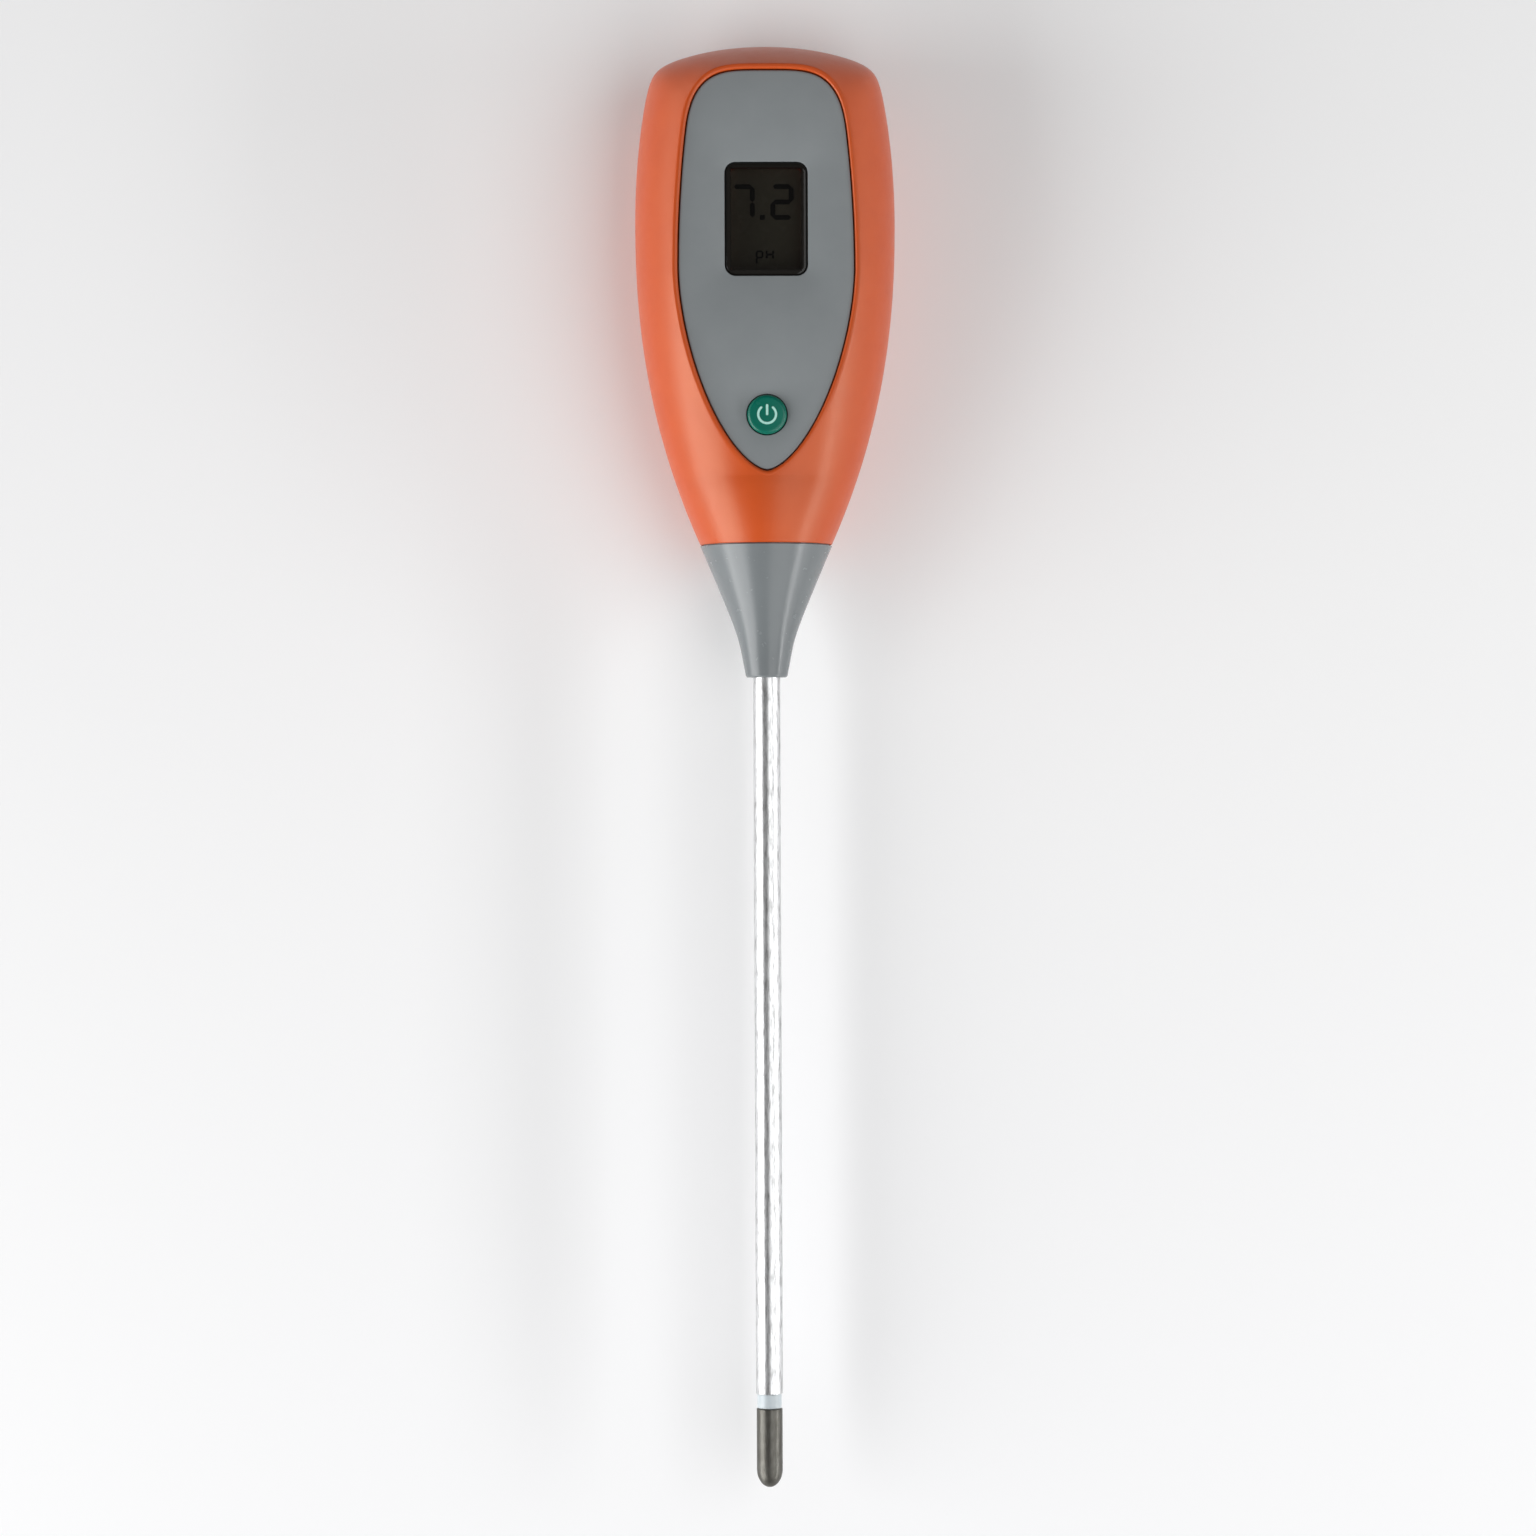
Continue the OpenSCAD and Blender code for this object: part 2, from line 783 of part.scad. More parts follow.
module circuit_board() {
    corner_r = 2.5;
    color("DarkGreen")
        translate([0, 0, board_z])
            linear_extrude(height = board_t)
                difference() {
                    translate([0, (board_low_y + board_high_y) / 2])
                        rounded_rectangle(2 * board_half_w, board_high_y - board_low_y, corner_r);
                    for (spot = board_spots)
                        translate(spot)
                            circle(r = board_shank_r + 0.1);
                }
}

module board_screws() {
    head_z = board_z - board_head_h;
    color(steel)
        for (spot = board_spots)
            difference() {
                union() {
                    post(spot, board_head_r, head_z, board_z);
                    post(spot, board_shank_r, board_z, roof_z - 1);
                }
                translate([spot[0], spot[1], head_z])
                    cube([2, 0.4, 1], center = true);
            }
}

// A flat package with nine pins on each side, on the board's lower face
module controller_chip() {
    chip_y = window_y - 2;
    half_w = 3.5;
    pin_reach = 0.9;
    pin_pitch = 0.7;
    pin_half_w = 0.15;
    color("DimGray") {
        box([-half_w, chip_y - half_w, board_z - 1.3], [half_w, chip_y + half_w, board_z - 0.1]);
        for (i = [-4 : 4], turn = [0 : 90 : 270])
            translate([0, chip_y, board_z])
                rotate([0, 0, turn])
                    box([half_w, i * pin_pitch - pin_half_w, -0.6],
                        [half_w + pin_reach, i * pin_pitch + pin_half_w, 0]);
    }
}

module smd_parts() {
    row_pitch = 4;
    color("Tan")
        for (x = [-8, -5, 5, 8], row = [0 : 2])
            translate([x, button_y - 1 + row * row_pitch, board_top_z])
                box([-0.6, -1, 0], [0.6, 1, 0.6]);
}

// A metal can that lies on the board's lower face, on a small foot
module timing_crystal() {
    can_r = 1;
    can_len = 6;
    can_x = 7;
    can_y = window_y - 6;
    foot_half_w = 0.4;
    color(steel) {
        translate([can_x, can_y, board_z - can_r - 0.1])
            rotate([-90, 0, 0])
                cylinder(r = can_r, h = can_len);
        box([can_x - foot_half_w, can_y - 1, board_z - 0.5], [can_x + foot_half_w, can_y, board_z]);
    }
}

// ---- Button and switch ----

module switch_body() {
    half_w = 3;
    leg_x = 3.4;
    leg_y = 2;
    leg_h = 0.6;
    color("Black")
        difference() {
            union() {
                box([-half_w, button_y - half_w, board_top_z], [half_w, button_y + half_w, switch_top_z]);
                for (x = [-leg_x, leg_x], y = [-leg_y, leg_y])
                    translate([x, button_y + y, board_top_z + leg_h / 2])
                        cube([1, 0.7, leg_h], center = true);
            }
            post([0, button_y], plunger_r + sliding_gap,
                plunger_top_z - plunger_len - button_travel - 0.2, switch_top_z + 1);
        }
}

module switch_plunger() {
    color("Ivory")
        post([0, button_y], plunger_r, plunger_top_z - plunger_len, plunger_top_z);
}

// A broken ring around a bar
module power_mark() {
    arc_r = 1.84;
    stroke = 0.45;
    gap_angle = 41;
    bar_w = 0.47;
    bar_h = 2.05;
    edge = 1.6 * arc_r * [sin(gap_angle), cos(gap_angle)];
    difference() {
        circle(r = arc_r);
        circle(r = arc_r - stroke);
        polygon([[0, 0], [-edge[0], edge[1]], [0, 2 * arc_r], edge]);
    }
    translate([-bar_w / 2, -0.2])
        square([bar_w, bar_h]);
}

module button_mark(high_z) {
    translate([0, button_y, rim_z + button_rise - mark_depth])
        linear_extrude(height = high_z)
            power_mark();
}

module power_button() {
    top_z = rim_z + button_rise;
    edge_r = 0.7;
    edge_steps = 6;
    r = button_d / 2;
    flange_z = roof_z - flange_t;
    outline = concat(
        [[0, plunger_top_z], [stem_r, plunger_top_z], [stem_r, flange_z], [r + 1, flange_z], [r + 1, roof_z],
         [r, roof_z]],
        [for (i = [0 : edge_steps])
            let (a = i * 90 / edge_steps)
            [r - edge_r * (1 - cos(a)), top_z - edge_r * (1 - sin(a))]],
        [[0, top_z]]
    );
    color("SeaGreen")
        difference() {
            translate([0, button_y, 0])
                rotate_extrude($fn = 64)
                    polygon(outline);
            button_mark(1);
        }
}

module power_symbol() {
    color("Aquamarine")
        button_mark(mark_depth);
}

// ---- Battery ----

module battery_cell() {
    color("DarkSlateBlue")
        translate([0, 0, cell_z - part_z])
            rod(cell_d / 2, cell_low_y, cell_high_y - cap_len);
}

module battery_cap() {
    color(steel)
        translate([0, 0, cell_z - part_z])
            rod(cap_r, cell_high_y - cap_len, cell_high_y);
}

// One closed tube that follows a helix around the cell's axis
module battery_spring() {
    turns = 5;
    steps = 14;
    sides = 6;
    low_r = 3.6;
    high_r = 2.5;
    spring_wire_r = 0.32;
    low_y = chamber_low_y + plate_t + spring_wire_r + 0.02;
    high_y = cell_low_y - spring_wire_r - 0.02;
    last = turns * steps;
    rings = [for (i = [0 : last])
        let (a = i * 360 / steps, r = low_r + (high_r - low_r) * i / last)
        [for (j = [0 : sides - 1])
            let (b = j * 360 / sides, s = r + spring_wire_r * cos(b))
            [s * cos(a), low_y + (high_y - low_y) * i / last + spring_wire_r * sin(b), cell_z + s * sin(a)]]];
    color(steel)
        polyhedron(points = [for (ring = rings) each ring], faces = tube_faces(last, sides), convexity = 8);
}

// A contact plate with a tab that stands up through the compartment's roof
module contact_plate(low_y) {
    half_w = 4.5;
    low_z = 3.6;
    high_z = chamber_top_z - 0.2;
    color(steel) {
        box([-half_w, low_y, low_z], [half_w, low_y + plate_t, high_z]);
        box([-tab_half_w, low_y, high_z], [tab_half_w, low_y + plate_t, tab_top_z]);
    }
}

module negative_plate() {
    contact_plate(chamber_low_y);
}

module positive_plate() {
    contact_plate(chamber_high_y - plate_t);
}

// A lead from a contact plate's tab at tab_y to the board, x to the side and along_y further on
module battery_lead(tab_y, x, along_y) {
    wire([
        [0, tab_y, tab_top_z],
        [0, tab_y, tab_top_z + 0.8],
        [x, tab_y + along_y - sign(along_y), board_z - 1.4],
        [x, tab_y + along_y, board_z]
    ], lead_r);
}

module battery_lead_red() {
    color("Red")
        battery_lead(chamber_high_y - plate_t / 2, 4, -7);
}

module battery_lead_black() {
    color("Black")
        battery_lead(chamber_low_y + plate_t / 2, -4, 6);
}

front_shell();
rear_shell();
battery_door();
face_plate();
plate_adhesive();
window_lens();
nose_cone();
tube_seal();
probe_collar();
collar_nut();
probe_tube();
insulator_ring();
sensor_tip();
tip_lead();
tube_lead();
lcd_panel();
lcd_segments();
lcd_holder();
zebra_strips();
circuit_board();
controller_chip();
smd_parts();
timing_crystal();
switch_body();
switch_plunger();
power_button();
power_symbol();
board_screws();
case_screws();
battery_cell();
battery_cap();
battery_spring();
negative_plate();
positive_plate();
battery_lead_red();
battery_lead_black();
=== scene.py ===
"""A soil pH meter on a pale floor: the visible pieces, their materials, the lights and the camera."""

import math

import bmesh
import bpy
import numpy as np
from mathutils import Matrix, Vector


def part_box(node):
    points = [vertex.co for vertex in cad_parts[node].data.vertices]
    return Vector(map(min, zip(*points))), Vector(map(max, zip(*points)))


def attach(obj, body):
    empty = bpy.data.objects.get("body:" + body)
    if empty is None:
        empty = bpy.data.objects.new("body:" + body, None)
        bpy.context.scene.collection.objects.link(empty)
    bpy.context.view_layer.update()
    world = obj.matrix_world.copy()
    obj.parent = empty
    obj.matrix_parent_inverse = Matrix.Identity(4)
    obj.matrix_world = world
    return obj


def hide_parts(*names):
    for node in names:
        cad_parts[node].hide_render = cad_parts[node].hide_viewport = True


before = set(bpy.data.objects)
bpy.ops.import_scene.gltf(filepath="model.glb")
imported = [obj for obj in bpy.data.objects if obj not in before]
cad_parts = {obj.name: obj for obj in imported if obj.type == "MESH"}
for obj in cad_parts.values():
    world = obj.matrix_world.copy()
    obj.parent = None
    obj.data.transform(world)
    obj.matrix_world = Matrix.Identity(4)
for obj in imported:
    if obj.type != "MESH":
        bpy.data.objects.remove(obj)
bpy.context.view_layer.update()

MM = 0.001

# ---- Places read from the frame, in mm ----

FRONT_LOW, FRONT_HIGH = (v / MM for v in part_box("front_shell"))
CROWN_Y = FRONT_HIGH.y
SEAM_Y = FRONT_LOW.y
PART_Z = FRONT_LOW.z
RIM_Z = FRONT_HIGH.z
HALF_W = FRONT_HIGH.x
PLATE_LOW, PLATE_HIGH = (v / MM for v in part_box("face_plate"))
LENS_LOW, LENS_HIGH = (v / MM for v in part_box("window_lens"))
BUTTON_LOW, BUTTON_HIGH = (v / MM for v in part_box("power_button"))
NOSE_LOW, NOSE_HIGH = (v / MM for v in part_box("nose_cone"))
TUBE_LOW, TUBE_HIGH = (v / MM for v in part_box("probe_tube"))
RING_LOW, RING_HIGH = (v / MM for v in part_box("insulator_ring"))
TIP_LOW, TIP_HIGH = (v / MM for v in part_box("sensor_tip"))
DOOR_LOW, DOOR_HIGH = (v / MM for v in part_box("battery_door"))
CELL_LOW, CELL_HIGH = (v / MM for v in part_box("battery_cell"))
SPRING_LOW, SPRING_HIGH = (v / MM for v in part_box("battery_spring"))

# ---- The casing's shape, in mm, with the same formulas as the CAD model ----

SEAM_R = 12.17
WIDEST_Y = CROWN_Y - 32.5
FLANK_POWER = 2.24
CROWN_R = 56.6
SHOULDER_POWER = 9.1
FLANK_LEAN = 0.251
LEAN_SPAN = 40
RIDGE_POWER = 1.9
HOLLOW_SEAM_R = SEAM_R - 2.3
POCKET_HALF_W = 16.23
POCKET_WIDEST_Y = CROWN_Y - 42.3
POCKET_TIP_Y = CROWN_Y - 79.1
POCKET_TOP_Y = CROWN_Y - 5.9
POCKET_CORNER_Y = CROWN_Y - 18.3
POCKET_LEAN = 0.227
TIP_POWER = 1.68
TIP_ROOT = 1.63
CORNER_POWER = 3.06
CORNER_ROOT = 4.13
POCKET_Z = RIM_Z - 2
ROOF_Z = POCKET_Z - 1.8
RIM_W = 0.9
WALL = 2
END_WALL = 3
BACK_FLAT = 0.8
NECK_R = 7.55
TUBE_END_R = 2.3
WINDOW_Y = CROWN_Y - 33.2
WINDOW_W = 15.2
WINDOW_H = 20.8
WINDOW_R = 2
LENS_LEDGE = 0.9
BUTTON_Y = (BUTTON_LOW.y + BUTTON_HIGH.y) / 2
BUTTON_R = 3.6
BUTTON_HOLE_R = 3.75
BUTTON_STEM_R = 1.6
BUTTON_FLANGE_T = 0.8
SCREW_SPOTS = [(x, CROWN_Y - drop) for x, drop in ((-15, 15.2), (15, 15.2), (-9, 77.7), (9, 77.7))]
SCREW_SEAT_Z = 7
SCREW_HEAD_R = 2.3
SCREW_SHANK_R = 1.2
SCREW_HOLE_R = 1.4
COUNTERBORE_R = 2.6
SCREW_POST_R = 3.8
CHAMBER_HALF_W = 5.6
CHAMBER_WALL = 1.2
CHAMBER_TOP_Z = 13.6
RAIL_HALF_W = 11.8
RAIL_TOP_Z = 3.2
TONGUE_W = 0.8
TONGUE_Z = 1
DOOR_GAP = 0.1


def skin_half_w(y):
    """Half of the casing's width at each y."""
    y = np.asarray(y, float)
    drop = np.clip((WIDEST_Y - y) / (WIDEST_Y - SEAM_Y), 0, None)
    below = HALF_W - (HALF_W - SEAM_R) * drop**FLANK_POWER
    flank = HALF_W * (1 - FLANK_LEAN * ((y - WIDEST_Y) / LEAN_SPAN) ** 2)
    crown = np.sqrt(np.clip(CROWN_R**2 - (y - CROWN_Y + CROWN_R) ** 2, 1e-9, None))
    above = (flank**-SHOULDER_POWER + crown**-SHOULDER_POWER) ** (-1 / SHOULDER_POWER)
    return np.where(y < WIDEST_Y, below, above)


def pocket_half_w(y, grow):
    """Half of the face plate's pocket's width at each y, with its outline moved out by grow."""
    y = np.asarray(y, float)
    below = np.clip((POCKET_WIDEST_Y - y) / (POCKET_WIDEST_Y - POCKET_TIP_Y + grow), 0, 1)
    above = np.clip((y - POCKET_CORNER_Y) / (POCKET_TOP_Y + grow - POCKET_CORNER_Y), 0, 1)
    lean = 1 - POCKET_LEAN * ((y - POCKET_WIDEST_Y) / LEAN_SPAN) ** 2
    lower = (1 - below**TIP_POWER) ** (1 / TIP_ROOT)
    upper = lean * (1 - above**CORNER_POWER) ** (1 / CORNER_ROOT)
    return (POCKET_HALF_W + grow) * np.where(y < POCKET_WIDEST_Y, lower, upper)


def reach(angles, half_w, top_y):
    """How far an outline lies from the middle of the widest place, along each angle."""
    low, high = np.zeros_like(angles), np.full_like(angles, 40.0)
    for _ in range(40):
        middle = (low + high) / 2
        y = WIDEST_Y + middle * np.sin(angles)
        inside = (y < top_y) & (middle * np.cos(angles) <= half_w(np.minimum(y, top_y)))
        low, high = np.where(inside, middle, low), np.where(inside, high, middle)
    return low


def skin_reach(angles):
    """Reach of the casing's outline."""
    return reach(angles, skin_half_w, CROWN_Y)


def pocket_reach(angles, grow):
    """Reach of the pocket's outline moved out by grow."""
    return reach(angles, lambda y: pocket_half_w(y, grow), POCKET_TOP_Y + grow)


# ---- Mesh helpers: shapes are made in mm and stored in metres ----

SHARP_ANGLE = 32
def new_piece(name, bm, body, replaces=()):
    """A mesh object from a bmesh in mm, smooth but for its sharp edges, riding on a body."""
    bmesh.ops.remove_doubles(bm, verts=bm.verts, dist=1e-3)
    bmesh.ops.recalc_face_normals(bm, faces=bm.faces)
    mesh = bpy.data.meshes.new(name)
    bm.to_mesh(mesh)
    bm.free()
    mesh.transform(Matrix.Scale(MM, 4))
    piece = bpy.data.objects.new(name, mesh)
    bpy.context.scene.collection.objects.link(piece)
    if body:
        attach(piece, body)
        if replaces:
            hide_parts(*replaces)
    smooth(piece)
    return piece


def smooth(piece):
    """Smooth shading, with an edge wherever two faces meet at more than SHARP_ANGLE."""
    piece.data.shade_smooth()
    piece.data.set_sharp_from_angle(angle=math.radians(SHARP_ANGLE))


def add_rings(bm, rings, closed=True):
    """Vertices for each ring, joined ring to ring by quads. Returns the rings of vertices."""
    made = [[bm.verts.new(p) for p in ring] for ring in rings]
    for a, b in zip(made, made[1:]):
        count = len(a) if closed else len(a) - 1
        for i in range(count):
            k = (i + 1) % len(a)
            bm.faces.new((a[i], a[k], b[k], b[i]))
    return made


def loop_edges(bm, ring):
    """The edges around a closed ring of vertices, made where they are missing."""
    pairs = zip(ring, [*ring[1:], ring[0]])
    return [bm.edges.get(p) or bm.edges.new(p) for p in pairs]


def fill(bm, *rings):
    """Flat faces between one outer ring and the holes in it."""
    edges = [e for ring in rings for e in loop_edges(bm, ring)]
    bmesh.ops.triangle_fill(bm, use_beauty=True, use_dissolve=False, edges=edges)


def lathe(bm, outline, segments=96, axis="y", centre=(0, 0)):
    """A closed turned shape. The outline is (radius, distance along the axis) from one end to the other."""
    turn = [i * 2 * math.pi / segments for i in range(segments)]
    u, v = centre
    rings = []
    for r, along in outline:
        if axis == "y":
            rings.append([(u + r * math.cos(a), along, v + r * math.sin(a)) for a in turn])
        else:
            rings.append([(u + r * math.cos(a), v + r * math.sin(a), along) for a in turn])
    made = add_rings(bm, rings)
    for ring, (r, _) in ((made[0], outline[0]), (made[-1], outline[-1])):
        if r > 1e-6:
            bm.faces.new(ring)


def arc(centre, r, start, end, steps):
    """Points of an arc in a lathe's outline, by angle in degrees from the radius direction."""
    angles = np.radians(np.linspace(start, end, steps + 1))
    return [(centre[0] + r * math.cos(a), centre[1] + r * math.sin(a)) for a in angles]


def rounded_rectangle(w, h, r, z, y=0.0, steps=8):
    """A ring at height z around a rectangle with round corners, centred on x = 0 and y."""
    points = []
    for cx, cy, first in ((1, 1, 0), (-1, 1, 90), (-1, -1, 180), (1, -1, 270)):
        for i in range(steps + 1):
            a = math.radians(first + 90 * i / steps)
            points.append((cx * (w / 2 - r) + r * math.cos(a), y + cy * (h / 2 - r) + r * math.sin(a), z))
    return points


def circle(r, z, x=0.0, y=0.0, segments=72):
    """A round ring at height z."""
    return [(x + r * math.cos(a), y + r * math.sin(a), z)
            for a in (i * 2 * math.pi / segments for i in range(segments))]


def prism(bm, ring, low_z, high_z):
    """A closed upright shape with the ring's outline."""
    rings = add_rings(bm, [[(x, y, z) for x, y, _ in ring] for z in (low_z, high_z)])
    fill(bm, rings[0])
    fill(bm, rings[1])


def box(bm, low, high):
    """A closed block between two corners."""
    prism(bm, [(low[0], low[1], 0), (high[0], low[1], 0), (high[0], high[1], 0), (low[0], high[1], 0)],
          low[2], high[2])


def cutter(shape):
    """A hidden closed mesh for a boolean, from a function that draws it."""
    bm = bmesh.new()
    shape(bm)
    return new_piece("cutter", bm, None)


def boolean(piece, cutters, operation="DIFFERENCE"):
    """Applies cutters one after another, and removes them."""
    for tool in cutters:
        step = piece.modifiers.new("cut", "BOOLEAN")
        step.operation = operation
        step.solver = "EXACT"
        step.object = tool
    shaped = bpy.data.meshes.new_from_object(piece.evaluated_get(bpy.context.evaluated_depsgraph_get()))
    piece.modifiers.clear()
    old, piece.data = piece.data, shaped
    shaped.name = piece.name
    bpy.data.meshes.remove(old)
    for tool in cutters:
        bpy.data.meshes.remove(tool.data)
    smooth(piece)


# ---- The casing's half bodies ----

LOW_STATIONS = 16
TIP_STATIONS = 72
CROWN_STATIONS = 64
EDGE = 0.12


def tip_rise(low_y):
    """Heights from an outline's lower tip to the widest place, close together near the tip."""
    t = np.linspace(0, 1, TIP_STATIONS + 1)[:-1]
    return low_y + (WIDEST_Y - low_y) * t**1.6


def crown_angles():
    """Directions from the widest place, from the right flank up to the crown."""
    return np.linspace(0, math.pi / 2, CROWN_STATIONS + 1)


def both_sides(x, y, z):
    """A ring from points on the right, which end over the middle: right side up, then left side down."""
    right = list(zip(x, y, z))
    return right + [(-px, py, pz) for px, py, pz in right[-2::-1]]


def pocket_ring(grow, z):
    """The pocket's outline moved out by grow, closed at its lower tip."""
    low = tip_rise(POCKET_TIP_Y - grow)
    angles = crown_angles()
    far = pocket_reach(angles, grow)
    x = np.concatenate([pocket_half_w(low, grow), far * np.cos(angles)])
    y = np.concatenate([low, WIDEST_Y + far * np.sin(angles)])
    x[0] = 0
    x[-1] = 0
    return both_sides(x, y, np.full_like(x, z))[:-1]


class Stations:
    """Where each section of a half body stands, and how far its flat and its silhouette reach."""

    def __init__(self, low_y, inset, flat_inset, flat_scale, height, seam_height):
        tip_y = POCKET_TIP_Y - RIM_W
        low = np.linspace(low_y, tip_y, LOW_STATIONS + 1)[:-1]
        low[1] = low_y + EDGE
        angles = crown_angles()
        straight = np.concatenate([low, tip_rise(tip_y)])
        self.angle = np.concatenate([np.zeros_like(straight), angles])
        self.root = np.concatenate([straight, np.full_like(angles, WIDEST_Y)])
        flat = np.concatenate([pocket_half_w(straight, RIM_W), pocket_reach(angles, RIM_W)])
        flat[: LOW_STATIONS + 1] = 0
        self.flat = np.clip(flat * flat_scale - flat_inset, 0, None)
        self.skin = np.concatenate([skin_half_w(straight), skin_reach(angles)]) - inset
        t = np.clip((tip_y - self.root) / (tip_y - SEAM_Y), 0, None)
        self.height = height - (height - seam_height) * t**RIDGE_POWER
        self.skin[0] -= EDGE
        self.height[0] -= EDGE
        self.slope = np.sqrt(1 - (self.flat / self.skin) ** 2)

    def ring(self, along, up, sign):
        """One ring over all the sections, at a reach and a height over the parting plane."""
        x = along * np.cos(self.angle)
        x[-1] = 0
        return both_sides(x, self.root + along * np.sin(self.angle), PART_Z + sign * up)

    def surface(self, along, crease):
        """Height over the parting plane, with the flat's edge rounded by crease."""
        drop = self.height * (1 - np.sqrt(np.clip(1 - (along / self.skin) ** 2, 0, 1)) / self.slope)
        rounded = (drop + np.sqrt(drop**2 + crease**2)) / 2
        inward = np.clip((self.flat - along) / np.maximum(self.rim_reach(crease), 1e-6), 0, 1)
        level = inward**2 * (3 - 2 * inward) * np.clip(self.flat / (8 * crease), 0, 1)
        return self.height - rounded * (1 - level)

    def rim_reach(self, crease):
        """How far in from the flat's edge its rounding goes."""
        return np.minimum(5 * crease, 0.6 * self.flat)

    def rows(self, count, crease, sign):
        """Rings from the silhouette in to just past the flat's rounded edge."""
        first = np.arcsin(self.flat / self.skin)
        shares = [1 - i / count for i in range(1, count)] + [0.6**k / count for k in range(1, 7)] + [0]
        inner = [self.skin * np.sin(first + (np.pi / 2 - first) * share) for share in shares]
        inner += [self.flat - share * self.rim_reach(crease) for share in (0.1, 0.25, 0.5, 1)]
        return [self.ring(along, self.surface(along, crease), sign) for along in inner]


def half_body(stations, count, crease, sign, inner_rings=(), groove=0.0, skirt=0.0):
    """A closed half of the casing. inner_rings carry on from the flat's edge, and the last is filled."""
    bm = bmesh.new()
    over = groove * stations.slope / stations.height
    rings = [
        stations.ring(stations.skin - groove, np.full_like(over, -skirt), sign),
        stations.ring(stations.skin * np.sqrt(1 - over**2), np.full_like(over, groove), sign),
        *stations.rows(count, crease, sign),
    ]
    skin = add_rings(bm, rings, closed=False)
    bm.faces.new(skin[0])
    bm.faces.new([row[0] for row in skin] + [row[-1] for row in reversed(skin)])
    edge = skin[-1][LOW_STATIONS : len(skin[-1]) - 1 - LOW_STATIONS]
    last = edge
    if inner_rings:
        rest = add_rings(bm, inner_rings)
        for i in range(len(edge)):
            k = (i + 1) % len(edge)
            bm.faces.new((edge[i], edge[k], rest[0][k], rest[0][i]))
        last = rest[-1]
    fill(bm, last)
    return bm


def front_stations(inset=0.0, flat_inset=0.0, low_y=SEAM_Y, height=RIM_Z - PART_Z, seam_r=SEAM_R):
    """Stations of the front half, or of the hollow in it."""
    return Stations(low_y, inset, flat_inset, 1, height, seam_r)


def rear_stations(inset=0.0, flat_inset=0.0, low_y=SEAM_Y, height=PART_Z, seam_r=SEAM_R):
    """Stations of the rear half, or of the hollow in it."""
    return Stations(low_y, inset, flat_inset, BACK_FLAT, height, seam_r)


# ---- Materials ----

def colour(*srgb):
    """Linear colour from sRGB numbers of 0 to 255."""
    return [((c / 255 + 0.055) / 1.055) ** 2.4 if c > 10 else c / 255 / 12.92 for c in srgb] + [1.0]


class Look:
    """A node-based material: a Principled shader and short ways to feed it."""

    def __init__(self, name, base, roughness, metallic=0.0, specular=0.5):
        self.material = bpy.data.materials.new(name)
        self.material.use_nodes = True
        self.nodes = self.material.node_tree.nodes
        self.links = self.material.node_tree.links
        self.shader = self.nodes["Principled BSDF"]
        self.base = base
        self.shader.inputs["Base Color"].default_value = base
        self.shader.inputs["Roughness"].default_value = roughness
        self.shader.inputs["Metallic"].default_value = metallic
        self.shader.inputs["Specular IOR Level"].default_value = specular
        self.place = self.nodes.new("ShaderNodeTexCoord").outputs["Object"]

    def link(self, source, target):
        """Joins an output to an input."""
        self.links.new(source, target)

    def noise(self, size_mm, detail=2.0, stretch=(1, 1, 1), roughness=0.5):
        """Noise whose features are about size_mm, longer along any axis that stretch raises."""
        mapping = self.nodes.new("ShaderNodeMapping")
        mapping.inputs["Scale"].default_value = [1 / (MM * size_mm * s) for s in stretch]
        texture = self.nodes.new("ShaderNodeTexNoise")
        texture.inputs["Scale"].default_value = 1.0
        texture.inputs["Detail"].default_value = detail
        texture.inputs["Roughness"].default_value = roughness
        self.link(self.place, mapping.inputs["Vector"])
        self.link(mapping.outputs["Vector"], texture.inputs["Vector"])
        return texture.outputs["Fac"]

    def ramp(self, source, low, high, start=0.3, end=0.7):
        """source from start to end turned into low to high."""
        node = self.nodes.new("ShaderNodeMapRange")
        node.inputs["From Min"].default_value = start
        node.inputs["From Max"].default_value = end
        node.inputs["To Min"].default_value = low
        node.inputs["To Max"].default_value = high
        self.link(source, node.inputs["Value"])
        return node.outputs["Result"]

    def calculate(self, operation, first, second):
        """A Math node's result. second is a socket or a number."""
        node = self.nodes.new("ShaderNodeMath")
        node.operation = operation
        self.link(first, node.inputs[0])
        if isinstance(second, (int, float)):
            node.inputs[1].default_value = second
        else:
            self.link(second, node.inputs[1])
        return node.outputs["Value"]

    def past(self, source, middle, half):
        """How far source lies outside the span from middle - half to middle + half."""
        off = self.calculate("SUBTRACT", source, middle)
        return self.calculate("SUBTRACT", self.calculate("ABSOLUTE", off, 0), half)

    def vary_colour(self, source, other):
        """Base colour between the look's own and other, by source."""
        mix = self.nodes.new("ShaderNodeMix")
        mix.data_type = "RGBA"
        mix.inputs["A"].default_value = self.base
        mix.inputs["B"].default_value = other
        self.link(source, mix.inputs["Factor"])
        self.link(mix.outputs["Result"], self.shader.inputs["Base Color"])

    def vary_roughness(self, source):
        """Roughness from source."""
        self.link(source, self.shader.inputs["Roughness"])

    def bump(self, source, depth_mm, strength=1.0):
        """Relief from source, on top of any relief that is there already."""
        node = self.nodes.new("ShaderNodeBump")
        node.inputs["Strength"].default_value = strength
        node.inputs["Distance"].default_value = depth_mm * MM
        self.link(source, node.inputs["Height"])
        previous = self.shader.inputs["Normal"].links
        if previous:
            self.link(previous[0].from_socket, node.inputs["Normal"])
        self.link(node.outputs["Normal"], self.shader.inputs["Normal"])


